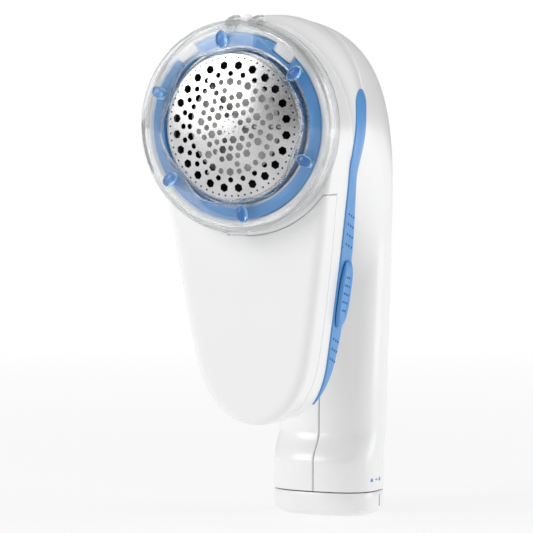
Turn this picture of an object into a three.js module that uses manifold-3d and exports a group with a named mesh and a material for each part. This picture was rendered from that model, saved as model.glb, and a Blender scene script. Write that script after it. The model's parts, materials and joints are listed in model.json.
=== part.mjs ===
// A battery fabric shaver: a round shaving head over a long lint bin in front, an arched
// back, and an upright battery handle behind it with a twist-off cap at the bottom.
// Millimetres. +Z is up, the shaving head faces -Y, and +X is to the right of someone who
// looks at the head. The heights in this file are drawn from a datum a little under the
// shaver, and the finished group is lowered by BASE_Z, so that its origin is the middle of
// the battery cap's flat base.
import * as THREE from "three";
import { mergeVertices } from "three/addons/utils/BufferGeometryUtils.js";
import Module from "manifold-3d";

const wasm = await Module();
wasm.setup();

// ---------------------------------------------------------------- driving dimensions
const HEAD_Z = 180; // height of the shaving head's axis, which runs along Y
const GUARD_R = 45.5; // the guard ring is the widest piece
const GUARD_BACK_Y = -86.4;
const DRUM_R = 44; // round front of the housing
const DRUM_FRONT_Y = -85.7;
const DISC_Y = -94; // front face of the blue foil ring
const TONGUE_TIP_Z = 50.2; // lowest point of the lint bin
const WALL = 2.0;
const GAP = 0.3; // clearance between neighbouring pieces
const BASE_Z = 3.5; // the battery cap's base
const CAP_TOP_Z = BASE_Z + 11;
const HANDLE_HALF_WIDTH = 24.9;
const HANDLE_HALF_DEPTH = 17.2; // at the battery cap
const CELL_R = 13.1; // C cell
const CELL_LENGTH = 50;
const TRIM_PROUD = 0.7;
const TRIM_DEPTH = 1.0;

// ---------------------------------------------------------------- finishes
const finish = (color, roughness, metalness = 0, opacity = 1) =>
  new THREE.MeshStandardMaterial({
    color,
    roughness,
    metalness,
    opacity,
    transparent: opacity < 1,
  });
const WHITE = finish(0xf4f4f2, 0.22);
const OFF_WHITE = finish(0xe3e3df, 0.4);
const BLUE = finish(0x5b94cf, 0.35);
const CLEAR = finish(0xeef3f6, 0.05, 0, 0.3);
const FOIL_STEEL = finish(0xc9cbcc, 0.25, 1);
const BLADE_STEEL = finish(0x8d9194, 0.3, 1);
const ZINC = finish(0xa9acae, 0.35, 1);
const BRASS = finish(0xc8a253, 0.35, 1);
const DARK_GREY = finish(0x4a4d50, 0.5);
const CELL_JACKET = finish(0x3d5a50, 0.35, 0.3);
const RED_WIRE = finish(0xb3261e, 0.5);
const BLACK_PLASTIC = finish(0x1d1d1f, 0.5);

// ---------------------------------------------------------------- solids
// Turns a closed three.js geometry into a solid, its faces turned outwards.
function solidOf(geometry) {
  const bare = geometry.clone();
  bare.deleteAttribute("normal");
  bare.deleteAttribute("uv");
  const merged = mergeVertices(bare, 1e-4);
  const faces = new Uint32Array(merged.index.array);
  if (signedVolume(merged.attributes.position, faces) < 0) {
    for (let i = 0; i < faces.length; i += 3) {
      [faces[i + 1], faces[i + 2]] = [faces[i + 2], faces[i + 1]];
    }
  }
  const vertProperties = new Float32Array(merged.attributes.position.array);
  return new wasm.Manifold(
    new wasm.Mesh({ numProp: 3, vertProperties, triVerts: faces }),
  );
}

function signedVolume(position, faces) {
  const [a, b, c] = [0, 1, 2].map(() => new THREE.Vector3());
  let volume = 0;
  for (let i = 0; i < faces.length; i += 3) {
    a.fromBufferAttribute(position, faces[i]);
    b.fromBufferAttribute(position, faces[i + 1]);
    c.fromBufferAttribute(position, faces[i + 2]);
    volume += a.dot(b.cross(c)) / 6;
  }
  return volume;
}

const join = (...solids) => solids.reduce((all, next) => all.add(next));
const cut = (solid, ...tools) => tools.reduce((left, tool) => left.subtract(tool), solid);

function box(x0, x1, y0, y1, z0, z1) {
  const block = new THREE.BoxGeometry(x1 - x0, y1 - y0, z1 - z0);
  block.translate((x0 + x1) / 2, (y0 + y1) / 2, (z0 + z1) / 2);
  return solidOf(block);
}

// A cylinder along Y, on the head's axis unless a centre is given.
function rodY(radius, y0, y1, segments = 32, x = 0, z = HEAD_Z) {
  const rod = new THREE.CylinderGeometry(radius, radius, y1 - y0, segments);
  rod.translate(x, (y0 + y1) / 2, z);
  return solidOf(rod);
}

function rodX(radius, x0, x1, y, z, segments = 16) {
  const rod = new THREE.CylinderGeometry(radius, radius, x1 - x0, segments);
  rod.rotateZ(Math.PI / 2);
  rod.translate((x0 + x1) / 2, y, z);
  return solidOf(rod);
}

// A closed profile of [radius, y] corners turned round the head's axis.
function turned(profile, segments = 40) {
  const points = profile.map(([radius, y]) => new THREE.Vector2(radius, y));
  const body = new THREE.LatheGeometry(points, segments);
  body.translate(0, 0, HEAD_Z);
  return solidOf(body);
}

// A side-view outline, drawn with the shape's x along Y and its y along Z, extruded along X.
function slabX(shape, x0, x1, curveSegments = 10) {
  const slab = new THREE.ExtrudeGeometry(shape, {
    depth: x1 - x0,
    bevelEnabled: false,
    curveSegments,
  });
  const side = new THREE.Matrix4().makeBasis(
    new THREE.Vector3(0, 1, 0),
    new THREE.Vector3(0, 0, 1),
    new THREE.Vector3(1, 0, 0),
  );
  slab.applyMatrix4(side);
  slab.translate(x0, 0, 0);
  return solidOf(slab);
}

// A front-view outline, drawn with the shape's y along Z, extruded along Y.
function slabY(shape, y0, y1, curveSegments = 8) {
  const slab = new THREE.ExtrudeGeometry(shape, {
    depth: y1 - y0,
    bevelEnabled: false,
    curveSegments,
  });
  slab.rotateX(Math.PI / 2);
  slab.translate(0, y1, 0);
  return solidOf(slab);
}

// Skins a row of equal-length point rings and closes both ends with a fan.
function loft(rings) {
  const count = rings[0].length;
  const points = rings.flat();
  const faces = [];
  for (let r = 0; r + 1 < rings.length; r++) {
    for (let i = 0; i < count; i++) {
      const j = (i + 1) % count;
      const [a, b, c, d] = [r * count + i, r * count + j, (r + 1) * count + j, (r + 1) * count + i];
      faces.push(a, b, c, a, c, d);
    }
  }
  for (const [r, flip] of [[0, true], [rings.length - 1, false]]) {
    const middle = new THREE.Vector3();
    rings[r].forEach((p) => middle.addScaledVector(p, 1 / count));
    points.push(middle);
    for (let i = 0; i < count; i++) {
      const pair = [r * count + i, r * count + ((i + 1) % count)];
      if (flip) pair.reverse();
      faces.push(pair[0], pair[1], points.length - 1);
    }
  }
  const skin = new THREE.BufferGeometry().setFromPoints(points);
  skin.setIndex(faces);
  return solidOf(skin);
}

// A wire or spring: a small many-sided section drawn along a curve.
function strand(curve, radius, steps, sides = 6) {
  const section = new THREE.Shape();
  for (let i = 0; i < sides; i++) {
    const angle = (2 * Math.PI * i) / sides;
    const corner = [radius * Math.cos(angle), radius * Math.sin(angle)];
    if (i === 0) section.moveTo(...corner);
    else section.lineTo(...corner);
  }
  return solidOf(new THREE.ExtrudeGeometry(section, { steps, extrudePath: curve }));
}

// A coil of the given turns; place(angle, share) puts a point of the coil in space.
class Coil extends THREE.Curve {
  constructor(turns, place) {
    super();
    this.turns = turns;
    this.place = place;
  }
  getPoint(t, target = new THREE.Vector3()) {
    return target.copy(this.place(2 * Math.PI * this.turns * t, t));
  }
}

// ---------------------------------------------------------------- the body's outer form
const mix = (a, b, t) => a + (b - a) * t;
const ease = (value, low, high) => THREE.MathUtils.smoothstep(value, low, high);

// Front view of the head and tongue: a pear, round at the top and tapering to the tip.
const SHOULDER_DEG = 11;
function pearOutline(count) {
  const side = new THREE.Path();
  side.moveTo(0, TONGUE_TIP_Z);
  side.bezierCurveTo(11, TONGUE_TIP_Z, 21, 57.5, 26, 73);
  const shoulder = THREE.MathUtils.degToRad(SHOULDER_DEG);
  const joinX = DRUM_R * Math.cos(shoulder);
  const joinZ = HEAD_Z - DRUM_R * Math.sin(shoulder);
  const lead = 36;
  side.bezierCurveTo(30.3, 87, joinX - lead * Math.tan(shoulder), joinZ - lead, joinX, joinZ);
  side.absarc(0, HEAD_Z, DRUM_R, -shoulder, Math.PI / 2, false);
  const half = side.getSpacedPoints(count / 2);
  const other = half.slice(1, -1).reverse();
  return [...half, ...other.map((p) => new THREE.Vector2(-p.x, p.y))];
}

// Moves each point of a closed outline inwards, or outwards when inset is negative.
function insetOutline(outline, inset) {
  return outline.map((point, i) => {
    const before = outline[(i + outline.length - 1) % outline.length];
    const after = outline[(i + 1) % outline.length];
    const along = after.clone().sub(before).normalize();
    return new THREE.Vector2(point.x - along.y * inset, point.y + along.x * inset);
  });
}

const FRONT_SLOPE = 0.068; // the tongue leans back towards its tip
const frontY = (z) => -84.6 - (z - 131) * FRONT_SLOPE;
const backY = (z) => mix(-46.5, -43.5, ease(z, 50, 100));

// The pear gets narrower and, above the head's axis, taller towards the back.
function taperPear(x, z, y) {
  const back = THREE.MathUtils.clamp((y + 86) / 38, 0, 1);
  const narrowing = mix(0.03, 0.135, ease(z, 115, 170));
  const rise = z > HEAD_Z ? 0.057 * Math.sqrt(back) : 0;
  return new THREE.Vector3(x * (1 - narrowing * back), y, z + (z - HEAD_Z) * rise);
}

// Head and tongue, grown or shrunk by offset: rounded front edge, straight side, rounded back.
function headAndTongue(offset, count = 36) {
  const outline = pearOutline(count);
  const frontRound = { inset: 4, depth: 4.5 };
  const backRound = { inset: 9, depth: 8 };
  const rings = [];
  const addRing = (inset, place) => {
    const ringPoints = insetOutline(outline, inset - offset).map((p) => {
      return taperPear(p.x, p.y, place(p.y));
    });
    rings.push(ringPoints);
  };
  const rows = 3;
  for (let i = 0; i <= rows; i++) {
    const angle = (Math.PI / 2) * (i / rows);
    const inset = frontRound.inset * (1 - Math.sin(angle));
    const depth = frontRound.depth * (1 - Math.cos(angle));
    addRing(inset, (z) => frontY(z) - offset + depth);
  }
  addRing(0, (z) => mix(frontY(z) + frontRound.depth, backY(z) - backRound.depth, 0.55));
  for (let i = 0; i <= rows; i++) {
    const angle = (Math.PI / 2) * (i / rows);
    const inset = backRound.inset * (1 - Math.cos(angle));
    const depth = backRound.depth * (1 - Math.sin(angle));
    addRing(inset, (z) => backY(z) + offset - depth);
  }
  return loft(rings);
}

// Front and back faces of the handle in side view, by height.
const handleFrontY = (z) =>
  mix(-HANDLE_HALF_DEPTH, mix(-10.8, -6, ease(z, 48, 108)), ease(z, 28, 41));
const handleBackY = (z) => mix(HANDLE_HALF_DEPTH, 25, ease(z, 0, 140));

// Side view of the arch: an outer squared ellipse over the head and back, an inner quarter circle.
const ARCH_OUTER = { y: -56, z: 169, radiusY: 81, radiusZ: 58.3, power: 2.3 };
const ARCH_INNER = { y: -43, z: 105, radius: 37 };

function archPair(angle) {
  const squared = (value) => Math.sign(value) * Math.abs(value) ** (2 / ARCH_OUTER.power);
  const outer = new THREE.Vector2(
    ARCH_OUTER.y + ARCH_OUTER.radiusY * squared(Math.sin(angle)),
    ARCH_OUTER.z + ARCH_OUTER.radiusZ * squared(Math.cos(angle)),
  );
  const inner = new THREE.Vector2(
    ARCH_INNER.y + ARCH_INNER.radius * Math.sin(angle),
    ARCH_INNER.z + ARCH_INNER.radius * Math.cos(angle),
  );
  return { inner, outer };
}

// One rounded section of the arch or handle, between its inner and outer side-view points.
function bandSection(inner, outer, halfWidth, power, offset, count) {
  const across = outer.clone().sub(inner);
  const halfDepth = across.length() / 2;
  across.normalize();
  const middle = inner.clone().add(outer).multiplyScalar(0.5);
  const round = (value, radius) => radius * Math.sign(value) * Math.abs(value) ** (2 / power);
  return Array.from({ length: count }, (_, i) => {
    const angle = (2 * Math.PI * (i + 0.5)) / count;
    const x = round(Math.cos(angle), halfWidth + offset);
    const d = round(Math.sin(angle), halfDepth + offset);
    return new THREE.Vector3(x, middle.x + across.x * d, middle.y + across.y * d);
  });
}

// Arch and handle as one bent band, from inside the head down to the given height.
function archAndHandle(offset, lowest, count = 20) {
  const rings = [];
  const archSteps = 7;
  for (let i = 0; i <= archSteps; i++) {
    const angle = THREE.MathUtils.degToRad(mix(-7, 90, i / archSteps));
    const { inner, outer } = archPair(angle);
    const narrowing = Math.sin(Math.max(angle, 0)) ** 1.1;
    const halfWidth = mix(37.6, 25.4, narrowing);
    rings.push(bandSection(inner, outer, halfWidth, mix(2.15, 2.7, narrowing), offset, count));
  }
  const innerHeights = [94, 83, 70, 56, 42, 38, 34, 30, 24, lowest];
  const outerHeights = [142, 114, 86, 63, 43, 38, 34, 30, 24, lowest];
  innerHeights.forEach((z, i) => {
    const inner = new THREE.Vector2(handleFrontY(z), z);
    const outer = new THREE.Vector2(handleBackY(outerHeights[i]), outerHeights[i]);
    rings.push(bandSection(inner, outer, HANDLE_HALF_WIDTH, 2.7, offset, count));
  });
  return loft(rings);
}

const bodyForm = (offset, lowest = CAP_TOP_Z) =>
  join(headAndTongue(offset), archAndHandle(offset, lowest));

// ---------------------------------------------------------------- dividing lines
// Side view of the line between the front housing and the two back shells, top to bottom.
const PARTING = new THREE.SplineCurve(
  [
    [-50, 44],
    [-50.2, 60],
    [-51.2, 84],
    [-51.1, 132],
    [-46.2, 175],
    [-41.8, 200],
    [-36, 236],
  ].map(([y, z]) => new THREE.Vector2(y, z)),
);
const PARTING_LINE = PARTING.getSpacedPoints(16);

// The parting line's place along Y at a height.
function partingY(z) {
  const above = PARTING_LINE.findIndex((point) => point.y >= z);
  const [low, high] = [PARTING_LINE[above - 1], PARTING_LINE[above]];
  return mix(low.x, high.x, (z - low.y) / (high.y - low.y));
}

function behindParting(shift) {
  const outline = new THREE.Shape();
  outline.moveTo(60, 240);
  outline.lineTo(PARTING_LINE.at(-1).x + shift, 240);
  [...PARTING_LINE].reverse().forEach((point) => outline.lineTo(point.x + shift, point.y));
  outline.lineTo(PARTING_LINE[0].x + shift, -10);
  outline.lineTo(60, -10);
  return slabX(outline, -60, 60);
}

// The grip trim lies just in front of the parting line at each side and covers it: rounded at
// the top, widest beside the switch and narrowing to a point at the bottom.
const TRIM = { tipZ: 58, topZ: 196, endLength: 7, tipLength: 34, forward: 4.2 };

function trimHalfWidth(z) {
  const waist = mix(5.2, 6.4, ease(z, 75, 140)) - 0.7 * ease(z, 150, 190);
  const tip = Math.min(1, (z - TRIM.tipZ) / TRIM.tipLength);
  const end = Math.min(1, (TRIM.topZ - z) / TRIM.endLength);
  return waist * Math.sqrt(Math.max(0, 1 - (1 - end) ** 2)) * Math.sin((Math.PI / 2) * tip) ** 0.8;
}

function trimOutline(shrink) {
  const rows = 14;
  const [front, back] = [[], []];
  for (let i = 0; i <= rows; i++) {
    const share = (1 - Math.cos((Math.PI * i) / rows)) / 2;
    const z = mix(TRIM.tipZ, TRIM.topZ, share);
    const half = trimHalfWidth(z) - shrink;
    if (half <= 0) continue;
    const middle = partingY(z) - TRIM.forward;
    front.push(new THREE.Vector2(middle - half, z));
    back.unshift(new THREE.Vector2(middle + half, z));
  }
  return new THREE.Shape([...front, ...back]);
}

// Front view of where the trims stop short of the body's middle.
const TRIM_INNER = [
  [5, 40],
  [22, 95],
  [27, 240],
];

// A trim-shaped slab at each side of the body, clear of the tongue's back.
function trimZone(shrink) {
  const slab = slabX(trimOutline(shrink), -60, 60);
  const sides = TRIM_INNER.map(([x, z]) => new THREE.Vector2(x + Math.max(shrink, 0), z));
  const mirrored = [...sides].reverse().map((point) => new THREE.Vector2(-point.x, point.y));
  return cut(slab, slabY(new THREE.Shape([...sides, ...mirrored]), -130, 60));
}

// The lint bin takes the tongue's front, outside the guard ring and below a shoulder.
const BIN_SEAM_DEPTH = 12.5;
const BIN_TOP_R = 46.8;
const BIN_SHOULDER_Z = 151;
function binZone(shrink) {
  const outline = new THREE.Shape();
  outline.moveTo(-110, 30);
  outline.lineTo(frontY(30) + BIN_SEAM_DEPTH - shrink, 30);
  outline.lineTo(frontY(BIN_SHOULDER_Z) + BIN_SEAM_DEPTH - shrink, BIN_SHOULDER_Z - shrink);
  outline.lineTo(-110, BIN_SHOULDER_Z - shrink);
  return cut(slabX(outline, -60, 60), rodY(BIN_TOP_R + shrink, -115, -50, 48));
}

// ---------------------------------------------------------------- the assembly
const group = new THREE.Group();

function addPart(name, solid, material) {
  const mesh = solid.getMesh();
  const count = mesh.numProp;
  const positions = new Float32Array(mesh.numVert * 3);
  for (let i = 0; i < mesh.numVert; i++) {
    positions.set(mesh.vertProperties.subarray(i * count, i * count + 3), i * 3);
  }
  const geometry = new THREE.BufferGeometry();
  geometry.setAttribute("position", new THREE.BufferAttribute(positions, 3));
  geometry.setIndex(new THREE.BufferAttribute(mesh.triVerts, 1));
  geometry.computeVertexNormals();
  const part = new THREE.Mesh(geometry, material);
  part.name = name;
  group.add(part);
}

// ---------------------------------------------------------------- shells and housing
const PLATE_FRONT_Y = -60; // the inner plate's two faces
const PLATE_BACK_Y = -57.4;
const PLATE_SCREW_R = 38.2;
const PLATE_SCREWS = [45, 135, 215, 325].map((deg) => {
  const angle = THREE.MathUtils.degToRad(deg);
  return { x: PLATE_SCREW_R * Math.cos(angle), z: HEAD_Z + PLATE_SCREW_R * Math.sin(angle) };
});
const outerForm = bodyForm(0);
const cavityForm = bodyForm(-WALL, CAP_TOP_Z - 4);
const trimRecess = cut(trimZone(0), bodyForm(-TRIM_DEPTH - GAP));

// The cells lean back a little, as the handle does.
const CELL_FOOT = { y: 1.9, z: BASE_Z + 9.4 };
const CELL_LEAN = THREE.MathUtils.degToRad(3.66);
const cellBay = cellDisc(CELL_R + 0.35, -12, 2 * CELL_LENGTH + 2, 40);

// Case screws run along X: boss in the left shell, thread in the right one.
const CASE_SCREWS = [
  { y: -10, z: 202 },
  { y: 17, z: 134 },
  { y: -51.5, z: 76 },
];
const SCREW = { headR: 2.9, headX: -9.6, shankR: 1.3, tipX: 9 };
const inBody = (solid) => solid.intersect(outerForm);

function caseBosses(sign) {
  const bosses = CASE_SCREWS.map(({ y, z }) =>
    sign > 0 ? rodX(3.6, GAP / 2, 40, y, z) : rodX(4.6, -40, -GAP / 2, y, z),
  );
  return inBody(join(...bosses));
}

function caseScrewHoles(sign) {
  const holes = CASE_SCREWS.map(({ y, z }) => {
    const shaft = rodX(SCREW.shankR + GAP, -20, SCREW.tipX + 2, y, z);
    return sign > 0 ? shaft : shaft.add(rodX(SCREW.headR + GAP, -60, SCREW.headX + 2, y, z));
  });
  return join(...holes);
}

// Catches for the battery cap's two hooks.
const CATCH = { innerR: 19.9, bottomZ: BASE_Z + 14.6, topZ: BASE_Z + 17.8, halfY: 3.2 };
function capCatch(sign) {
  const block = box(CATCH.innerR, 26, -CATCH.halfY, CATCH.halfY, CATCH.bottomZ, CATCH.topZ);
  return inBody(sign > 0 ? block : block.mirror([1, 0, 0]));
}

// The slot that the switch knob's stem slides in, on the right-hand (+X) side.
const SWITCH = { y: -53.6, z: 107.3, travel: 4, stemHalfY: 2, stemHalfZ: 4, halfY: 3.4 };
const PAD_Y = -55.2;
const switchSlot = box(
  20,
  50,
  SWITCH.y - SWITCH.stemHalfY - GAP,
  SWITCH.y + SWITCH.stemHalfY + GAP,
  SWITCH.z - SWITCH.stemHalfZ - GAP,
  SWITCH.z + SWITCH.stemHalfZ + SWITCH.travel + GAP,
);

function backShell(sign) {
  const side = sign > 0 ? box(GAP / 2, 60, -130, 60, 0, 240) : box(-60, -GAP / 2, -130, 60, 0, 240);
  const skin = cut(outerForm.intersect(behindParting(GAP / 2)).intersect(side), cavityForm);
  const bosses = caseBosses(sign).intersect(behindParting(GAP / 2));
  const whole = join(skin, bosses, capCatch(sign));
  return cut(whole, caseScrewHoles(sign), trimRecess, switchSlot, cellBay);
}

function frontHousing() {
  const drumFront = box(-60, 60, -130, DRUM_FRONT_Y, 0, 240);
  const skin = cut(outerForm, behindParting(-GAP / 2), drumFront);
  const backRoom = cavityForm.intersect(box(-60, 60, PLATE_FRONT_Y - GAP, 0, 0, 240));
  const upperRoom = box(-60, 60, -84, 0, HEAD_Z, 240);
  const headRoom = cavityForm.intersect(rodY(DRUM_R - WALL, -84, -20, 36).add(upperRoom));
  const lowerRoom = box(-60, 60, -130, 0, 0, HEAD_Z);
  const tongueRoom = cut(cavityForm.intersect(lowerRoom), rodY(DRUM_R + WALL, -130, -20, 36));
  const bowlMouth = rodY(33.8, -100, -80);
  const chuteHole = chuteBox(GAP, 125, 150);
  const shell = cut(skin, headRoom, tongueRoom, backRoom, bowlMouth, chuteHole, binZone(0));
  const posts = PLATE_SCREWS.map(({ x, z }) =>
    rodY(2.7, DRUM_FRONT_Y + 0.5, PLATE_FRONT_Y - GAP, 12, x, z),
  );
  const threads = PLATE_SCREWS.map(({ x, z }) => rodY(1.4, -72, -50, 8, x, z));
  const dimple = hingeBall(0.2);
  const notches = [-1, 1].map((side) => hingeNotch(side));
  return cut(join(shell, ...posts), trimRecess, switchSlot, dimple, ...notches, ...threads);
}

// A duct of lint from the cutter bowl down into the bin.
const CHUTE = { halfX: 14, y0: -80.4, y1: -72.4, wall: 1.2, bottomZ: 130 };
const chuteBox = (grow, z0, z1) =>
  box(-CHUTE.halfX - grow, CHUTE.halfX + grow, CHUTE.y0 - grow, CHUTE.y1 + grow, z0, z1);

function lintChute() {
  const outer = chuteBox(0, CHUTE.bottomZ, 156);
  const bore = chuteBox(-CHUTE.wall, 120, 170);
  const underBowl = cut(outer, bore, rodY(BOWL.outerR + GAP, -90, -60, 48));
  return underBowl.intersect(rodY(BIN_TOP_R - 0.1, -90, -60, 48));
}

// The bin: the tongue's front skin, a tub that reaches back into the tongue, a slot on top.
function lintBin() {
  const zone = binZone(GAP);
  const skin = outerForm.intersect(zone);
  const tubBack = -62;
  const tubForm = cut(
    bodyForm(-WALL - 0.5),
    box(-60, 60, tubBack, 60, 0, 240),
    rodY(BIN_TOP_R + 1.2, -115, -50, 48),
    box(-60, 60, -130, 60, 140, 240),
  );
  const hollow = cut(
    bodyForm(-WALL - 2.1),
    rodY(BIN_TOP_R + 2.8, -115, -50, 48),
    box(-60, 60, -130, 60, 138.4, 240),
  );
  return cut(join(skin, tubForm), hollow, chuteBox(-CHUTE.wall, 125, 150));
}

// An inner plate across the head and tongue: it closes the lint side off from the motor side.
function innerPlate() {
  const slab = box(-60, 60, PLATE_FRONT_Y, PLATE_BACK_Y, 0, 240);
  const plate = bodyForm(-WALL - GAP).intersect(slab);
  const shaftHole = rodY(4.4, -70, -50, 20);
  const motorHoles = [-1, 1].map((side) => rodY(1.7, -70, -50, 12, side * MOTOR.screwX));
  const rimHoles = PLATE_SCREWS.map(({ x, z }) => rodY(1.7, -70, -50, 12, x, z));
  return cut(plate, shaftHole, ...motorHoles, ...rimHoles);
}

// ---------------------------------------------------------------- shaving head
// Front surface of the domed foil at a radius.
const FOIL = { apexY: -101, rimR: 30.4, rimY: -98, skirtR: 32.4, flangeR: 36.4, flangeY: -92.1 };
const FOIL_SPHERE_R =
  (FOIL.rimR ** 2 + (FOIL.rimY - FOIL.apexY) ** 2) / (2 * (FOIL.rimY - FOIL.apexY));
const foilY = (radius) =>
  FOIL.apexY + FOIL_SPHERE_R - Math.sqrt(FOIL_SPHERE_R ** 2 - radius ** 2);
const FOIL_THICKNESS = 0.5;

function foilScreen() {
  const dome = [0, 12, 22, FOIL.rimR].map((radius) => [radius, foilY(radius)]);
  const front = [
    ...dome,
    [FOIL.skirtR - 0.5, FOIL.rimY + 0.5],
    [FOIL.skirtR, FOIL.rimY + 1.6],
    [FOIL.skirtR, FOIL.flangeY],
    [FOIL.flangeR, FOIL.flangeY],
    [FOIL.flangeR, FOIL.flangeY + FOIL_THICKNESS],
  ];
  const inside = [
    [FOIL.skirtR - FOIL_THICKNESS, FOIL.flangeY + FOIL_THICKNESS],
    [FOIL.skirtR - FOIL_THICKNESS, FOIL.rimY + 1.6],
    [FOIL.rimR - 0.2, FOIL.rimY + FOIL_THICKNESS],
    ...dome.slice(0, -1).reverse().map(([radius, y]) => [radius, y + FOIL_THICKNESS]),
  ];
  const shell = turned([...front, ...inside], 32);
  const holes = [];
  const pitch = 7.6;
  for (let row = 1; row <= 3; row++) {
    const count = 6 * row;
    for (let i = 0; i < count; i++) {
      const angle = (2 * Math.PI * (i + 0.5 * (row % 2))) / count;
      const x = pitch * row * Math.cos(angle);
      const z = HEAD_Z + pitch * row * Math.sin(angle);
      holes.push(rodY(row % 2 ? 2.2 : 1.8, -105, -90, 6, x, z));
    }
  }
  return cut(shell, ...holes);
}

// The blue ring that clamps the foil's flange, notched for the collar's two tabs.
const FOIL_RING = { innerR: 34.6, outerR: 39.9, backY: -88.6 };
const TAB = { halfWidth: 5, innerR: 36.6, deg: 36 };
function tabBlock(side, halfWidth, innerR, outerR, y0, y1) {
  const block = new THREE.BoxGeometry(2 * halfWidth, y1 - y0, outerR - innerR);
  block.translate(0, (y0 + y1) / 2, (innerR + outerR) / 2);
  block.rotateY(THREE.MathUtils.degToRad(side * TAB.deg));
  block.translate(0, 0, HEAD_Z);
  return solidOf(block);
}

function foilRing() {
  const section = turned([
    [FOIL_RING.innerR, DISC_Y + 0.6],
    [FOIL_RING.innerR + 0.6, DISC_Y],
    [FOIL_RING.outerR - 0.6, DISC_Y],
    [FOIL_RING.outerR, DISC_Y + 0.6],
    [FOIL_RING.outerR, FOIL_RING.backY],
    [FOIL.flangeR + 0.6, FOIL_RING.backY],
    [FOIL.flangeR + 0.6, FOIL.flangeY - GAP],
    [FOIL_RING.innerR, FOIL.flangeY - GAP],
    [FOIL_RING.innerR, DISC_Y + 0.6],
  ]);
  const notches = [-1, 1].map((side) =>
    tabBlock(side, TAB.halfWidth + GAP, TAB.innerR - GAP, 42, DISC_Y - 1, FOIL_RING.backY + 1),
  );
  return cut(section, ...notches);
}

// The white collar: a channel that seats the blue ring, with two tabs over its edge.
const COLLAR = { innerR: 33.8, outerR: 42.3, frontY: -92.8, backY: -86 };
function headCollar() {
  const channel = turned([
    [COLLAR.innerR, FOIL.flangeY + FOIL_THICKNESS + GAP],
    [FOIL.flangeR, FOIL.flangeY + FOIL_THICKNESS + GAP],
    [FOIL.flangeR, FOIL_RING.backY + GAP],
    [FOIL_RING.outerR + GAP, FOIL_RING.backY + GAP],
    [FOIL_RING.outerR + GAP, COLLAR.frontY],
    [COLLAR.outerR, COLLAR.frontY],
    [COLLAR.outerR, COLLAR.backY],
    [COLLAR.innerR, COLLAR.backY],
    [COLLAR.innerR, FOIL.flangeY + FOIL_THICKNESS + GAP],
  ]);
  const tabs = [-1, 1].map((side) =>
    tabBlock(side, TAB.halfWidth, TAB.innerR, 41, DISC_Y - 0.2, FOIL_RING.backY + 1),
  );
  return join(channel, ...tabs);
}

// The clear guard: an outer wall, a front flange with a six-cornered opening, six nubs,
// a finger tab at the bottom and two hinge arms at the top.
const GUARD = { wallInnerR: 43, rimY: -95.6, lipY: -98.2, thickness: 1.5, lipR: 32.3, wave: 1.5 };
const TAB_REACH = 1.2; // the bin slides out just under the finger tab
const NUB = { count: 6, firstDeg: 37.5, radius: 37.2, halfLong: 4.1, halfWide: 2.9, proud: 1.8 };
const HINGE = { y: -82.6, z: 225.8, pinR: 1.1, pinHalf: 7.9 };

const flangeFrontY = (radius) =>
  mix(GUARD.lipY, GUARD.rimY, (radius - GUARD.lipR) / (GUARD_R - GUARD.lipR)) - GUARD.thickness;

function guardOpening() {
  const outline = new THREE.Shape();
  const corners = 36;
  for (let i = 0; i < corners; i++) {
    const angle = (2 * Math.PI * i) / corners;
    const nubPhase = angle - THREE.MathUtils.degToRad(NUB.firstDeg);
    const radius = GUARD.lipR - GUARD.wave * Math.cos(NUB.count * nubPhase);
    const corner = [radius * Math.cos(angle), HEAD_Z + radius * Math.sin(angle)];
    if (i === 0) outline.moveTo(...corner);
    else outline.lineTo(...corner);
  }
  return slabY(outline, -110, -90);
}

function guardNub(index) {
  const angle = THREE.MathUtils.degToRad(NUB.firstDeg + (360 / NUB.count) * index);
  const nub = new THREE.SphereGeometry(1, 10, 6);
  nub.scale(NUB.halfLong, NUB.proud, NUB.halfWide);
  nub.rotateY(-angle);
  const y = flangeFrontY(NUB.radius) + 0.3;
  nub.translate(NUB.radius * Math.cos(angle), y, HEAD_Z + NUB.radius * Math.sin(angle));
  return solidOf(nub);
}

function clearGuard() {
  const section = turned(
    [
      [30, flangeFrontY(30)],
      [GUARD_R - 1, flangeFrontY(GUARD_R - 1)],
      [GUARD_R, GUARD.rimY - 0.6],
      [GUARD_R, GUARD_BACK_Y],
      [GUARD.wallInnerR, GUARD_BACK_Y],
      [GUARD.wallInnerR, flangeFrontY(GUARD.wallInnerR) + GUARD.thickness],
      [30, flangeFrontY(30) + GUARD.thickness],
      [30, flangeFrontY(30)],
    ],
    44,
  );
  const arms = [-1, 1].map((side) => hingeArm(side));
  const tab = box(-4, 4, -95, -91.5, HEAD_Z - GUARD_R - TAB_REACH, HEAD_Z - GUARD_R + 1);
  const nubs = Array.from({ length: NUB.count }, (_, i) => guardNub(i));
  const body = join(cut(section, guardOpening()), tab, ...arms, ...nubs);
  return cut(body, rodX(HINGE.pinR + 0.05, -30, 30, HINGE.y, HINGE.z));
}

const ARM = { x: 5.6, halfWidth: 1.6, endR: 2.3 };
function hingeNotch(side) {
  const x = side * ARM.x;
  const half = ARM.halfWidth + GAP;
  return box(x - half, x + half, -90, HINGE.y + 2.8, HINGE.z - 2.7, 240);
}

function hingeArm(side) {
  const spine = new THREE.Shape();
  spine.moveTo(-90.5, 222.5);
  spine.lineTo(-86.6, 222.5);
  spine.lineTo(-85.2, 223.8);
  spine.lineTo(HINGE.y, HINGE.z - ARM.endR);
  spine.absarc(HINGE.y, HINGE.z, ARM.endR, -Math.PI / 2, Math.PI / 2, false);
  spine.lineTo(-90.5, 226);
  const x = side * ARM.x;
  return slabX(spine, x - ARM.halfWidth, x + ARM.halfWidth, 6);
}

// The hinge pin: a bar with a ball in its middle, which sits in the housing's saddle.
function hingeBall(grow) {
  const ball = new THREE.SphereGeometry(2.3 + grow, 12, 8);
  ball.translate(0, HINGE.y, HINGE.z);
  return solidOf(ball);
}

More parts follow.
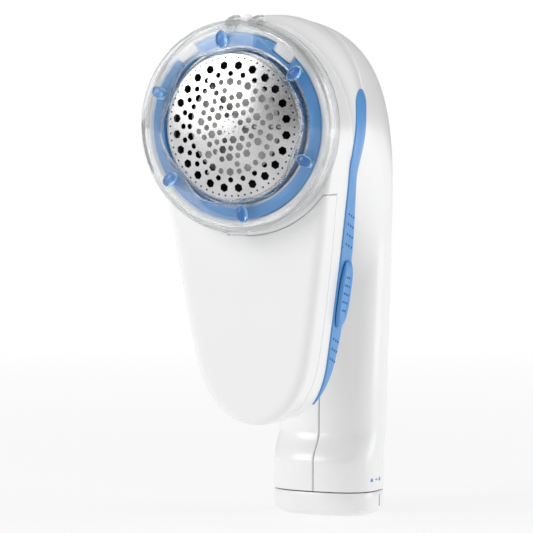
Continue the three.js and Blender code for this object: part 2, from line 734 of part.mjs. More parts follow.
const hingePin = () =>
  join(rodX(HINGE.pinR, -HINGE.pinHalf, HINGE.pinHalf, HINGE.y, HINGE.z), hingeBall(0));

// ---------------------------------------------------------------- cutter and motor
const BOWL = { outerR: 33.2, innerR: 31.6, frontY: -85.9, backY: -71.2, floor: 1.6 };
function cutterBowl() {
  const cup = turned([
    [5, BOWL.backY - BOWL.floor],
    [BOWL.innerR, BOWL.backY - BOWL.floor],
    [BOWL.innerR, BOWL.frontY],
    [BOWL.outerR, BOWL.frontY],
    [BOWL.outerR, BOWL.backY],
    [5, BOWL.backY],
    [5, BOWL.backY - BOWL.floor],
  ]);
  return cut(cup, chuteBox(-CHUTE.wall, 140, 160));
}

const SHAFT_R = 1.15;
const CUTTER = {
  hubR: 5,
  hubFrontY: -99,
  hubBackY: -94,
  bladeR: 28,
  bladeBackY: -95.2,
  sweepGap: 0.6,
};
const FLOAT_TRAVEL = 0.8;

const CARRIER_R = 21; // the disc that the blades stand on
function cutterHub() {
  const hub = rodY(CUTTER.hubR, CUTTER.hubFrontY + 0.6, CUTTER.hubBackY, 24);
  const carrier = rodY(CARRIER_R, CUTTER.hubBackY - 1, CUTTER.hubBackY, 40);
  const bore = rodY(SHAFT_R + 0.06, CUTTER.hubFrontY + 2, -80, 20);
  const slots = [0, 1, 2].map((i) => bladeShape(i, GAP));
  return cut(join(hub, carrier), bore, ...slots);
}

// One blade: a flat steel bar on edge, its front edge following the foil.
function bladeShape(index, grow = 0) {
  const outline = new THREE.Shape();
  const inner = CUTTER.hubR - 1.6 - grow;
  const outer = CUTTER.bladeR + grow;
  const front = (radius) => foilY(radius) + FOIL_THICKNESS + CUTTER.sweepGap - grow;
  outline.moveTo(inner, CUTTER.bladeBackY + grow);
  outline.lineTo(outer, CUTTER.bladeBackY + grow);
  const steps = 4;
  for (let i = 0; i <= steps; i++) {
    const radius = mix(outer, inner, i / steps);
    outline.lineTo(radius, front(radius));
  }
  const thickness = 0.8 + 2 * grow;
  const blade = new THREE.ExtrudeGeometry(outline, { depth: thickness, bevelEnabled: false });
  blade.translate(0, 0, -thickness / 2);
  blade.rotateY((2 * Math.PI * index) / 3);
  blade.translate(0, 0, HEAD_Z);
  return solidOf(blade);
}

const FAN = { hubR: 4.2, discR: 25, frontY: -82.5, discY: -75.6, backY: -74.2, vanes: 8 };
function fanWheel() {
  const disc = rodY(FAN.discR, FAN.discY, FAN.backY, 40);
  const hub = rodY(FAN.hubR, FAN.frontY, FAN.backY, 20);
  const vanes = Array.from({ length: FAN.vanes }, (_, i) => {
    const vane = new THREE.BoxGeometry(FAN.discR - FAN.hubR, FAN.discY - FAN.frontY, 1.1);
    vane.translate((FAN.discR + FAN.hubR) / 2 - 0.5, (FAN.discY + FAN.frontY) / 2, 0);
    vane.rotateY((2 * Math.PI * i) / FAN.vanes);
    vane.translate(0, 0, HEAD_Z);
    return solidOf(vane);
  });
  return cut(join(disc, hub, ...vanes), rodY(SHAFT_R + 0.06, -90, -70, 20));
}

function cutterSpring() {
  const coilR = 3;
  const from = FAN.frontY - 0.5;
  const to = CUTTER.hubBackY + FLOAT_TRAVEL + 0.5;
  const coil = new Coil(5, (angle, share) => {
    return new THREE.Vector3(
      coilR * Math.cos(angle),
      mix(from, to, share),
      HEAD_Z + coilR * Math.sin(angle),
    );
  });
  return strand(coil, 0.35, 50, 5);
}

const MOTOR = { radius: 12, frontY: -57.1, backY: -27, bushR: 4, screwX: 8.5 };
function motorCan() {
  const can = rodY(MOTOR.radius, MOTOR.frontY, MOTOR.backY, 32);
  const bore = rodY(SHAFT_R + 0.4, -60, -20, 16);
  const bushSeat = rodY(MOTOR.bushR + 0.05, -60, MOTOR.frontY + 1.5, 20);
  const screwSeats = [-1, 1].map((side) => {
    return rodY(1.4, -60, MOTOR.frontY + 3.2, 12, side * MOTOR.screwX);
  });
  return cut(can, bore, bushSeat, ...screwSeats);
}

// A screw from behind that holds the inner plate to a post of the front housing.
function plateScrew({ x, z }) {
  const head = rodY(2.2, PLATE_BACK_Y + 0.2, PLATE_BACK_Y + 2, 16, x, z);
  return head.add(rodY(1.2, -69, PLATE_BACK_Y + 0.5, 12, x, z));
}

function motorScrew(side) {
  const x = side * MOTOR.screwX;
  const head = rodY(2.6, PLATE_FRONT_Y - 2.1, PLATE_FRONT_Y - 0.2, 16, x);
  return head.add(rodY(1.25, PLATE_FRONT_Y - 0.3, MOTOR.frontY + 2.8, 12, x));
}

const motorBush = () =>
  cut(rodY(MOTOR.bushR, -61.6, MOTOR.frontY + 1.3, 20), rodY(SHAFT_R + 0.05, -70, -50, 16));

// A terminal blade stands behind the motor at each side, through a slot in the end cap.
const TERMINAL = { x: 6, halfWidth: 1.1, z0: 188.4, z1: 189 };
const terminalBox = (side, grow, y0, y1) => {
  const half = TERMINAL.halfWidth + grow;
  const x = side * TERMINAL.x;
  return box(x - half, x + half, y0, y1, TERMINAL.z0 - grow, TERMINAL.z1 + grow);
};

function motorEndCap() {
  const cap = rodY(MOTOR.radius - 0.4, MOTOR.backY + 0.1, MOTOR.backY + 4.6, 32);
  const boss = rodY(3.6, MOTOR.backY + 4, MOTOR.backY + 6.4, 20);
  const slots = [-1, 1].map((side) => terminalBox(side, 0.4, -40, -10));
  return cut(join(cap, boss), rodY(SHAFT_R + 0.4, -40, MOTOR.backY + 5.2, 16), ...slots);
}

const motorTerminal = (side) => terminalBox(side, 0, MOTOR.backY + 0.6, MOTOR.backY + 8);

// A saddle behind the motor, held between the two shells.
function motorCradle() {
  const block = box(-20, 20, -40, -33, 145, 180);
  const seat = rodY(MOTOR.radius + GAP, -50, -20, 40);
  const arch = box(-12, 12, -42, -30, 140, 162);
  return cut(block, seat, arch).intersect(bodyForm(-WALL - GAP));
}

// ---------------------------------------------------------------- grips and switch
function gripTrim(side) {
  const half = side > 0 ? box(5, 60, -130, 60, 0, 240) : box(-60, -5, -130, 60, 0, 240);
  const strip = cut(bodyForm(TRIM_PROUD), bodyForm(-TRIM_DEPTH));
  const trim = strip.intersect(trimZone(GAP)).intersect(half);
  return side > 0 ? cut(trim, switchSlot) : trim;
}

function padOutline(halfY, halfZ) {
  const outline = new THREE.Shape();
  outline.absellipse(PAD_Y, SWITCH.z, halfY, halfZ, 0, 2 * Math.PI, false);
  return outline;
}

const STEM_X0 = 25.5;
function switchKnob() {
  const pad = cut(bodyForm(3), bodyForm(TRIM_PROUD + 0.4));
  const oval = pad.intersect(slabX(padOutline(5.2, 14.5), 10, 60, 10));
  const stem = switchBox(STEM_X0, 34.2, SWITCH.stemHalfY, -SWITCH.stemHalfZ, SWITCH.stemHalfZ);
  return oval.add(stem);
}

// A block round the switch's centre, from one height above that centre to another.
const switchBox = (x0, x1, halfY, from, to) =>
  box(x0, x1, SWITCH.y - halfY, SWITCH.y + halfY, SWITCH.z + from, SWITCH.z + to);

function switchSlider() {
  const plate = switchBox(STEM_X0 - 2, STEM_X0 - 0.1, SWITCH.halfY, -7, 7);
  const toggle = switchBox(STEM_X0 - 5, STEM_X0 - 1.5, 1, -1.5, 1.5);
  return plate.add(toggle);
}

function switchBody() {
  const block = switchBox(8, STEM_X0 - 2.4, SWITCH.halfY, -10, 12);
  const slot = switchBox(15, 40, 1.6, -2.2, SWITCH.travel + 2.2);
  const legs = [-5, 1, 7].map((height) => switchBox(4, 8.5, 0.9, height - 0.3, height + 0.3));
  return join(cut(block, slot), ...legs);
}

// ---------------------------------------------------------------- battery handle
function alongCells(geometry) {
  geometry.rotateX(Math.PI / 2 - CELL_LEAN);
  geometry.translate(0, CELL_FOOT.y, CELL_FOOT.z);
  return solidOf(geometry);
}

// A disc on the cells' axis, from one distance above the foot to another.
function cellDisc(radius, from, to, segments = 32) {
  const disc = new THREE.CylinderGeometry(radius, radius, to - from, segments);
  disc.translate(0, (from + to) / 2, 0);
  return alongCells(disc);
}

const NUB_HEIGHT = 1.2;
const cell = (from) =>
  cellDisc(CELL_R, from, from + CELL_LENGTH - NUB_HEIGHT).add(
    cellDisc(2.8, from + CELL_LENGTH - NUB_HEIGHT - 0.5, from + CELL_LENGTH, 16),
  );

function cellSpring() {
  const coil = new Coil(3.2, (angle, share) => {
    const radius = mix(8, 3.4, share);
    return new THREE.Vector3(
      radius * Math.cos(angle),
      mix(BASE_Z + 3.5, CELL_FOOT.z - 1.5, share),
      radius * Math.sin(angle),
    );
  });
  const wire = new THREE.Shape().absarc(0, 0, 0.45, 0, 2 * Math.PI, false);
  const along = { steps: 32, curveSegments: 3, extrudePath: coil };
  const spring = new THREE.ExtrudeGeometry(wire, along);
  spring.rotateX(Math.PI / 2);
  return solidOf(spring);
}

const CAP_FLOOR_Z = BASE_Z + 2.6;

// The cap: an oval cup with a flat base and a rounded lower edge, and two bayonet hooks.
function capSection(inset, z, count = 40) {
  const inner = new THREE.Vector2(-HANDLE_HALF_DEPTH, z);
  const outer = new THREE.Vector2(HANDLE_HALF_DEPTH, z);
  return bandSection(inner, outer, HANDLE_HALF_WIDTH, 2.7, -inset, count);
}

const HOOK = { innerR: 17.2, outerR: 19.4, lipR: 21.3, halfY: 2.6 };
const HOOK_LIP_Z = CATCH.topZ + GAP;
const HOOK_TOP_Z = HOOK_LIP_Z + 2.6;
function batteryCap() {
  const edge = 5.5;
  const rings = [0, 30, 60, 90].map((deg) => {
    const angle = THREE.MathUtils.degToRad(deg);
    return capSection(edge * (1 - Math.sin(angle)), BASE_Z + edge * (1 - Math.cos(angle)));
  });
  const cup = loft([...rings, capSection(0, CAP_TOP_Z - GAP)]);
  const room = loft([
    capSection(WALL + 2, CAP_FLOOR_Z),
    capSection(WALL, CAP_FLOOR_Z + 2.4),
    capSection(WALL, CAP_TOP_Z + 5),
  ]);
  const hooks = [-1, 1].map((side) => capHook(side));
  return join(cut(cup, room), ...hooks);
}

function capHook(side) {
  const arm = box(HOOK.innerR, HOOK.outerR, -HOOK.halfY, HOOK.halfY, BASE_Z + WALL, HOOK_TOP_Z);
  const lip = box(HOOK.innerR, HOOK.lipR, -HOOK.halfY, HOOK.halfY, HOOK_LIP_Z, HOOK_TOP_Z);
  const hook = arm.add(lip);
  return side > 0 ? hook : hook.mirror([1, 0, 0]);
}

const capPlate = () => box(-10, 10, -9, 9, CAP_FLOOR_Z + 0.05, CAP_FLOOR_Z + 0.3);

// A springy strip up the handle's side that takes the bottom contact to the top.
const contactStrip = () =>
  join(box(-16.2, -15.6, 0, 5, 30, 118), box(-16.2, -12.4, 0, 5, 117.4, 118));

const topContact = () => cellDisc(7, 2 * CELL_LENGTH + 0.6, 2 * CELL_LENGTH + 1.2, 20);

function caseScrew({ y, z }) {
  const head = rodX(SCREW.headR, SCREW.headX - 2, SCREW.headX, y, z);
  return head.add(rodX(SCREW.shankR, SCREW.headX - 0.2, SCREW.tipX, y, z, 12));
}

// ---------------------------------------------------------------- wires
// Each wire passes through these points, from terminal to terminal.
const MOTOR_TO_SWITCH = [
  [6, -18.2, 188.7],
  [9, -15, 176],
  [8, -28, 152],
  [4, -48, 150],
  [3, -51, 130],
  [3.2, -53.6, 108.7],
];
const SWITCH_TO_BATTERY = [
  [3.2, -53.4, 102.9],
  [0, -50, 122],
  [0, -47, 149],
  [2, -28, 149],
  [3, 2, 142],
  [4, 8.6, 114.2],
];
const MOTOR_TO_STRIP = [
  [-6, -18.2, 188.7],
  [-10, -8, 170],
  [-12, 2, 150],
  [-14, 3, 119],
];
const WIRE_R = 0.6;
const wire = (points) => {
  const path = new THREE.CatmullRomCurve3(points.map((point) => new THREE.Vector3(...point)));
  return strand(path, WIRE_R, 4 * points.length);
};

// ---------------------------------------------------------------- all the pieces
addPart("front_housing", frontHousing(), WHITE);
addPart("left_shell", backShell(-1), WHITE);
addPart("right_shell", backShell(1), WHITE);
addPart("lint_bin", lintBin(), WHITE);
addPart("lint_chute", lintChute(), OFF_WHITE);
addPart("inner_plate", innerPlate(), OFF_WHITE);
addPart("head_collar", headCollar(), WHITE);
addPart("foil_ring", foilRing(), BLUE);
addPart("foil_screen", foilScreen(), FOIL_STEEL);
addPart("clear_guard", clearGuard(), CLEAR);
addPart("guard_hinge_pin", hingePin(), WHITE);
addPart("cutter_bowl", cutterBowl(), DARK_GREY);
addPart("cutter_hub", cutterHub(), OFF_WHITE);
[0, 1, 2].forEach((i) => addPart(`cutter_blade_${i + 1}`, bladeShape(i), BLADE_STEEL));
addPart("cutter_spring", cutterSpring(), ZINC);
addPart("fan_wheel", fanWheel(), DARK_GREY);
addPart("motor_shaft", rodY(SHAFT_R, -95.6, MOTOR.backY + 4.9, 16), ZINC);
addPart("motor_front_bush", motorBush(), BRASS);
addPart("motor_can", motorCan(), ZINC);
addPart("motor_end_cap", motorEndCap(), BLACK_PLASTIC);
addPart("motor_terminal_left", motorTerminal(-1), BRASS);
addPart("motor_terminal_right", motorTerminal(1), BRASS);
addPart("motor_screw_left", motorScrew(-1), ZINC);
addPart("motor_screw_right", motorScrew(1), ZINC);
PLATE_SCREWS.forEach((place, i) => addPart(`plate_screw_${i + 1}`, plateScrew(place), ZINC));
addPart("motor_cradle", motorCradle(), OFF_WHITE);
addPart("grip_trim_left", gripTrim(-1), BLUE);
addPart("grip_trim_right", gripTrim(1), BLUE);
addPart("switch_knob", switchKnob(), BLUE);
addPart("switch_slider", switchSlider(), OFF_WHITE);
addPart("slide_switch", switchBody(), DARK_GREY);
addPart("battery_lower", cell(0), CELL_JACKET);
addPart("battery_upper", cell(CELL_LENGTH + 0.1), CELL_JACKET);
addPart("battery_cap", batteryCap(), WHITE);
addPart("cap_contact_plate", capPlate(), BRASS);
addPart("cap_contact_spring", cellSpring(), ZINC);
addPart("top_contact_plate", topContact(), BRASS);
addPart("contact_strip", contactStrip(), BRASS);
CASE_SCREWS.forEach((place, i) => addPart(`case_screw_${i + 1}`, caseScrew(place), ZINC));
addPart("wire_motor_to_switch", wire(MOTOR_TO_SWITCH), RED_WIRE);
addPart("wire_switch_to_battery", wire(SWITCH_TO_BATTERY), RED_WIRE);
addPart("wire_motor_to_strip", wire(MOTOR_TO_STRIP), BLACK_PLASTIC);

group.position.z = -BASE_Z;

export default group;
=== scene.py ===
"""A battery fabric shaver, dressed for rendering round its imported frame.

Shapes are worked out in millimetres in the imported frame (+Z up, the shaving head facing -Y)
and turned into metres when an object is made.
"""

import json
import math

import bpy
import numpy as np
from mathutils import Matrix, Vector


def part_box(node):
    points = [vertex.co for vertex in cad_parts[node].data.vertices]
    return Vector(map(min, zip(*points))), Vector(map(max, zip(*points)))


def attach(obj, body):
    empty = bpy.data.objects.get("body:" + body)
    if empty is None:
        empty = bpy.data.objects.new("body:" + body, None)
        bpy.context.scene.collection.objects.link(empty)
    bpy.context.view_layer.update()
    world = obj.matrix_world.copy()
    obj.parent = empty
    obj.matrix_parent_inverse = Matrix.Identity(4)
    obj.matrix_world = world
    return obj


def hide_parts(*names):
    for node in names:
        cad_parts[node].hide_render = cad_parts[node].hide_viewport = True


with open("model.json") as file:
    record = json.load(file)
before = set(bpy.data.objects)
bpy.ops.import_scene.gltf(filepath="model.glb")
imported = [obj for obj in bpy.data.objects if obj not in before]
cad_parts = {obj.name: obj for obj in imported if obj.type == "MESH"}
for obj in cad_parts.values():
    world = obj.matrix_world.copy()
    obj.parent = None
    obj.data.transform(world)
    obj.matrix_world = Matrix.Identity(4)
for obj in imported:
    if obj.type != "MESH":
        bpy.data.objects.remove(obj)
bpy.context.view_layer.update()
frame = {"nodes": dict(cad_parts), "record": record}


# ---- places taken from the frame
def box_mm(node):
    low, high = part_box(node)
    return np.array(low) * 1000, np.array(high) * 1000


RING_LOW, RING_HIGH = box_mm("foil_ring")
HEAD_Z = (RING_LOW[2] + RING_HIGH[2]) / 2
DISC_Y = RING_LOW[1]
RING_R = (RING_HIGH[0] - RING_LOW[0]) / 2
GUARD_R = box_mm("clear_guard")[1][0]
DRUM_FRONT_Y = box_mm("front_housing")[0][1]
TIP_Z = box_mm("lint_bin")[0][2]
BIN_BACK_Y = box_mm("lint_bin")[1][1]
CAP_LOW, CAP_HIGH = box_mm("battery_cap")
CAP_TOP = box_mm("left_shell")[0][2]
FOIL_APEX_Y = box_mm("foil_screen")[0][1]
COLLAR_LOW, COLLAR_HIGH = box_mm("head_collar")
PIN_LOW, PIN_HIGH = box_mm("guard_hinge_pin")
HINGE_Y = (PIN_LOW[1] + PIN_HIGH[1]) / 2
HINGE_Z = (PIN_LOW[2] + PIN_HIGH[2]) / 2
PAD_LOW, PAD_HIGH = box_mm("switch_knob")
PAD_Z = (PAD_LOW[2] + PAD_HIGH[2]) / 2
PAD_HALF_Z = (PAD_HIGH[2] - PAD_LOW[2]) / 2

# ---- sizes of the body
CELL = 1.25  # grid step of the body's skin
WALL = 1.8
SEAM = 0.36
BIN_SEAM = 0.2
EDGE = 0.55  # rounding of the skin's edges beside a seam
DRUM_R = 44.0
SHOULDER = math.radians(11)  # where the head's round side runs into the tongue's
FRONT_Y = -84.6  # the tongue's front at the height FRONT_Z
FRONT_Z = 127.5
FRONT_LEAN = 0.068
ARCH_START_DEG = -14
ARCH_SQUARENESS = 2.3
HANDLE_SQUARENESS = 2.7
HANDLE_HALF = 25.4
JOIN_REACH = 5.0  # width of the blend between the head and the arch

# knots of the line where the front housing meets the back shells: y, z
PARTING = [(-50, 40.5), (-50.2, 56.5), (-51.2, 80.5), (-51.1, 128.5)]
PARTING = np.array(PARTING + [(-46.2, 171.5), (-41.8, 196.5), (-36, 232.5)])
BIN_SEAM_DEPTH = 12.5
BIN_TOP_R = 46.9
BIN_SHOULDER_Z = HEAD_Z - 29
BOWL_MOUTH_R = 33.8
WELLS = [(-10.0, HEAD_Z + 22), (17.0, HEAD_Z - 46)]  # y, z
WELL_R = 3.1
WELL_FLOOR_X = -9.9

# ---- sizes of the trims and pad
TRIM_TIP = TIP_Z + 7.8
TRIM_TOP = HEAD_Z + 16
TRIM_FORWARD = 4.2
TRIM_PROUD = 0.7
TRIM_GAP = 0.1
TRIM_EDGE = 0.5
PAD_HALF_Y = 5.2
PAD_SQUARENESS = 2.8
PAD_UNDER = 1.12  # height of the pad's underside over the body
PAD_RIM = 1.2
PAD_TOP = 2.4
DOT_R = 0.55
DOT_HEIGHT = 0.4
DOTS_ABOVE = [PAD_Z + 20.8 + 4.3 * k for k in range(4)]
DOTS_BELOW = [PAD_Z - 20.5 - 4.3 * k for k in range(3)]

# ---- sizes of the shaving head
COLLAR_FRONT_Y = COLLAR_LOW[1] + 1.4
COLLAR_BACK_Y = COLLAR_HIGH[1]
COLLAR_R = COLLAR_HIGH[0]
COLLAR_INNER_R = 33.9
RING_INNER_R = 34.6
TAB_DEG = 36
TAB_INNER_R = 36.6
TAB_OUTER_R = 41.2
TAB_HALF = 5.0
FOIL_RIM_R = 30.4
FOIL_RISE = 3.0
FOIL_RIM_Y = FOIL_APEX_Y + FOIL_RISE
FOIL_SPHERE = (FOIL_RIM_R**2 + FOIL_RISE**2) / (2 * FOIL_RISE)
FOIL_CELL = 0.38  # size of the sheet's triangles
FOIL_SHEET = 0.25
HEX = 6
ROUND = 0
HOLE_RINGS = [
    # radius, how many, size, corners
    (26.2, 24, 1.95, HEX),
    (22.6, 24, 1.2, ROUND),
    (19.2, 14, 1.8, HEX),
    (19.3, 14, 1.2, ROUND),
    (2.9, 8, 0.36, ROUND),
    (29.5, 60, 0.45, ROUND),
]
LATTICE_PITCH = 4.05
LATTICE_FROM_R = 4.6
LATTICE_TO_R = 17.2
LATTICE_TWIST = 0.016  # radians more turn for every mm from the middle
HOLE_WALL = 0.55  # least metal left between two holes

GUARD_BACK_Y = -86.4
GUARD_RIM_Y = -95.6
GUARD_LIP_Y = -98.2
GUARD_THICK = 1.5
LIP_R = 32.3
LIP_WAVE = 1.5
DENT = 2.2  # of the guard's edge, below the hinge
DENT_HALF_DEG = 4.0
NUB_R = 37.2
NUB_FIRST_DEG = 37.5
ARM_X = 5.6
ARM_EYE_R = 1.8
BALL_R = 2.15

# ---- sizes of the cap and its marks
CAP_EDGE = 5.5
MARK_DEG = -6.0
MARK_LIFT = 0.06
HANDLE_R = 24.0

# ---- studio, in metres
BACKDROP = 1.0
DIM_X = 0.15  # the dimmest direction of the surroundings
DIM_LEVEL = 0.07
SIDE_LEVEL = 0.45
ABOVE_LEVEL = 0.12
FLOOR_HALF = 6.0
AZIMUTH = math.radians(26)
ELEVATION = math.radians(3.3)
DISTANCE = 1.4
AIM_RIGHT = 0.0129  # from the middle of the head, in the camera's own directions
AIM_DOWN = 0.0597
LENS = 221.7


# ---- small sums
def mix(a, b, t):
    return a + (b - a) * t


def ease(value, low, high):
    t = np.clip((value - low) / (high - low), 0, 1)
    return t * t * (3 - 2 * t)


def unit(vectors):
    return vectors / np.maximum(np.linalg.norm(vectors, axis=-1, keepdims=True), 1e-9)


def power_of(value, power):
    return np.sign(value) * np.abs(value) ** power


def smooth_min(a, b, reach):
    h = np.maximum(reach - np.abs(a - b), 0) / reach
    return np.minimum(a, b) - h * h * reach / 4


def round_angles(count):
    return np.linspace(0, 2 * math.pi, count, endpoint=False)


def xyz(x, y, z):
    """Points from three coordinates, any of which may be one number for all."""
    return np.stack(np.broadcast_arrays(x, y, z), 1)


def bezier(p0, p1, p2, p3, count):
    t = np.linspace(0, 1, count)[:, None]
    p0, p1, p2, p3 = (np.array(p, float) for p in (p0, p1, p2, p3))
    return (1 - t) ** 3 * p0 + 3 * t * (1 - t) ** 2 * p1 + 3 * t * t * (1 - t) * p2 + t**3 * p3


class Table2D:
    """Values on a regular grid of two axes, read back between the grid points."""

    def __init__(self, values, origin, step):
        self.values = values
        self.origin = origin
        self.step = step

    def __call__(self, a, b):
        rows, columns = self.values.shape
        i = np.clip((a - self.origin[0]) / self.step, 0, rows - 1.001)
        j = np.clip((b - self.origin[1]) / self.step, 0, columns - 1.001)
        i0 = i.astype(int)
        j0 = j.astype(int)
        u = i - i0
        v = j - j0
        near = mix(self.values[i0, j0], self.values[i0, j0 + 1], v)
        far = mix(self.values[i0 + 1, j0], self.values[i0 + 1, j0 + 1], v)
        return mix(near, far, u)


# ---- the body's form
def pear_outline():
    """Right half of the head and tongue in front view, from the tip up to the top."""
    join = (DRUM_R * math.cos(SHOULDER), HEAD_Z - DRUM_R * math.sin(SHOULDER))
    lead = 36
    side = (26, TIP_Z + 22.8)
    lower = bezier((0, TIP_Z), (11, TIP_Z), (21, TIP_Z + 7.3), side, 70)
    towards = (join[0] - lead * math.tan(SHOULDER), join[1] - lead)
    upper = bezier(side, (30.3, TIP_Z + 36.8), towards, join, 110)
    angle = np.linspace(-SHOULDER, math.pi / 2, 140)
    crown = np.stack([DRUM_R * np.cos(angle), HEAD_Z + DRUM_R * np.sin(angle)], 1)
    return np.concatenate([lower, upper[1:], crown[1:]])


def outline_distance(outline, step=0.5):
    """Distance to the pear outline over the front view, negative inside it."""
    a = np.arange(0, 60, step)
    b = np.arange(20, 240, step)
    points = np.stack(np.meshgrid(a, b, indexing="ij"), -1)
    best = np.full(points.shape[:2], 1e9)
    for start, end in zip(outline[:-1], outline[1:]):
        along = end - start
        share = np.clip(((points - start) @ along) / (along @ along), 0, 1)
        gap = np.linalg.norm(points - start - share[..., None] * along, axis=-1)
        best = np.minimum(best, gap)
    half_width = np.interp(b, outline[:, 1], outline[:, 0], left=-1, right=-1)
    inside = a[:, None] < half_width[None, :]
    return Table2D(np.where(inside, -best, best), (0, 20), step)


pear = outline_distance(pear_outline())


def front_plane_y(z):
    return FRONT_Y - (z - FRONT_Z) * FRONT_LEAN


def back_y(z):
    return mix(-46.5, -43.5, ease(z, 46.5, 96.5))


def rounded(side, end, radius):
    """Joins two distances into one with a rounded edge between them."""
    a = side + radius
    b = end + radius
    both = np.hypot(np.maximum(a, 0), np.maximum(b, 0))
    return both + np.minimum(np.maximum(a, b), 0) - radius


def head_and_tongue(x, y, z):
    back = np.clip((y + 86) / 38, 0, 1)
    rise = np.where(z > HEAD_Z, 0.057 * np.sqrt(back), 0)
    flat_z = HEAD_Z + (z - HEAD_Z) / (1 + rise)
    narrowing = mix(0.03, 0.135, ease(flat_z, 111.5, 166.5))
    side = pear(np.abs(x) / (1 - narrowing * back), flat_z)
    front_round = mix(4.4, 1.3, ease(flat_z, 128, 160))
    front = rounded(side, np.maximum(front_plane_y(flat_z), DRUM_FRONT_Y) - y, front_round)
    return np.maximum(front, rounded(side, y - back_y(flat_z), 8.5))


def arch_and_handle_lines():
    """Inner and outer side-view lines of the bent band, with each section's half width."""
    angle = np.radians(np.linspace(ARCH_START_DEG, 90, 220))
    outer_y = -56 + 81 * power_of(np.sin(angle), 2 / ARCH_SQUARENESS)
    outer_z = HEAD_Z - 11 + 58.3 * power_of(np.cos(angle), 2 / ARCH_SQUARENESS)
    inner_y = -43 + 37 * np.sin(angle)
    inner_z = HEAD_Z - 75 + 37 * np.cos(angle)
    narrowing = np.sin(np.maximum(angle, 0)) ** 1.1
    start_fade = 4.5 * (1 - ease(np.degrees(angle), ARCH_START_DEG, -1))
    arch = [inner_y, inner_z, outer_y, outer_z]
    arch += [mix(37.6, HANDLE_HALF, narrowing), mix(2.15, HANDLE_SQUARENESS, narrowing), start_fade]

    left = np.linspace(1, 0, 260)[1:]
    inner_z = mix(-8, HEAD_Z - 75, left)
    outer_z = inner_z + 64 * left**3
    slim = mix(-10.8, -6, ease(inner_z, 44.5, 104.5))
    inner_y = mix(CAP_LOW[1], slim, ease(inner_z, 24.5, 37.5))
    outer_y = mix(CAP_HIGH[1], 25, ease(outer_z, -3.5, 136.5))
    half_width = mix(CAP_HIGH[0], HANDLE_HALF, ease(left, 0.75, 1))
    handle = [inner_y, inner_z, outer_y, outer_z]
    handle += [half_width, np.full_like(left, HANDLE_SQUARENESS), np.zeros_like(left)]
    return np.array([np.concatenate(pair) for pair in zip(arch, handle)])


def band_tables(step=0.5):
    """For each side-view point: how far it is across the band, and its section's size."""
    lines = arch_and_handle_lines()
    inner = lines[0:2].T
    outer = lines[2:4].T
    across = outer - inner
    length = np.linalg.norm(across, axis=1)
    across = across / length[:, None]
    a = np.arange(-100, 42, step)
    b = np.arange(-14, 240, step)
    # columns: place across, half depth, half width, power, fade
    found = np.full((len(a), len(b), 5), (3.0, 15, 25, 2.5, 0))
    sizes = np.array([length / 2, *lines[4:]])
    for row, y in enumerate(a):
        dy = y - inner[None, :, 0]
        dz = b[:, None] - inner[None, :, 1]
        beside = across[:, 0] * dz - across[:, 1] * dy
        place = (across[:, 0] * dy + across[:, 1] * dz) / (length / 2) - 1
        crossing = (beside[:, :-1] * beside[:, 1:] <= 0) & (np.abs(place[:, :-1]) < 2.4)
        cost = np.where(crossing, np.abs(place[:, :-1]), 9)
        best = cost.argmin(1)
        here = np.arange(len(b))
        valid = cost[here, best] < 9
        low = beside[here, best]
        high = beside[here, best + 1]
        share = low / np.where(low == high, 1, low - high)
        picked = mix(place[here, best], place[here, best + 1], share)
        columns = [np.abs(picked), *mix(sizes[:, best], sizes[:, best + 1], share)]
        found[row][valid] = np.stack(columns, 1)[valid]
    return [Table2D(found[..., k], (-100, -14), step) for k in range(5)]


band = band_tables()


def arch_and_handle_level(x, y, z):
    place, depth, width, power, fade = (table(y, z) for table in band)
    width = width - fade
    place = place * depth / (depth - fade)
    return (np.abs(x / width) ** power + place**power) ** (1 / power) - 1


class Field:
    """The body's form as distances on a grid, negative inside."""

    def __init__(self):
        self.origin = np.array([-50.0, -100.0, -8.0])
        counts = (81, 113, 196)
        axes = [self.origin[k] + CELL * np.arange(counts[k]) for k in range(3)]
        x, y, z = np.meshgrid(*axes, indexing="ij")
        level = arch_and_handle_level(x, y, z)
        slope = np.linalg.norm(np.stack(np.gradient(level, CELL)), axis=0)
        handle = np.clip(level / np.clip(slope, 1 / 40, 1 / 11), -12, 12)
        head = np.clip(head_and_tongue(x, y, z), -12, 12)
        self.values = smooth_min(head, handle, JOIN_REACH)
        self.slopes = np.stack(np.gradient(self.values, CELL), -1)

    def weights(self, points):
        limit = np.array(self.values.shape) - 1.001
        place = np.clip((points - self.origin) / CELL, 0, limit)
        corner = place.astype(int)
        share = place - corner
        for pick in np.ndindex(2, 2, 2):
            weight = np.prod(np.where(pick, share, 1 - share), axis=1)
            yield tuple((corner + pick).T), weight

    def value(self, points):
        return sum(self.values[at] * weight for at, weight in self.weights(points))

    def slope(self, points):
        return sum(self.slopes[at] * weight[:, None] for at, weight in self.weights(points))

    def normal(self, points):
        return unit(self.slope(points))


body = Field()


def settle(points, rounds=3):
    """Moves points straight on to the body's surface."""
    for _ in range(rounds):
        slope = body.slope(points)
        size = np.maximum((slope**2).sum(1), 0.05)
        points = points - slope * (body.value(points) / size)[:, None]
    return points


def surface_along(start, way):
    """How far along a direction, from points inside it, the body's surface is."""
    near = np.full(len(start), 4.0)
    far = np.full(len(start), 49.0)
    for _ in range(30):
        middle = (near + far) / 2
        outside = body.value(start + way * middle[:, None]) > 0
        far = np.where(outside, middle, far)
        near = np.where(outside, near, middle)
    return ((near + far) / 2)[:, None]


def on_side(y, z, side=1):
    """Points of the body's surface at side-view places, on side +1 or -1 of it."""
    start = xyz(0, y, z)
    way = np.array([side, 0.0, 0.0])
    return start + way * surface_along(start, way)


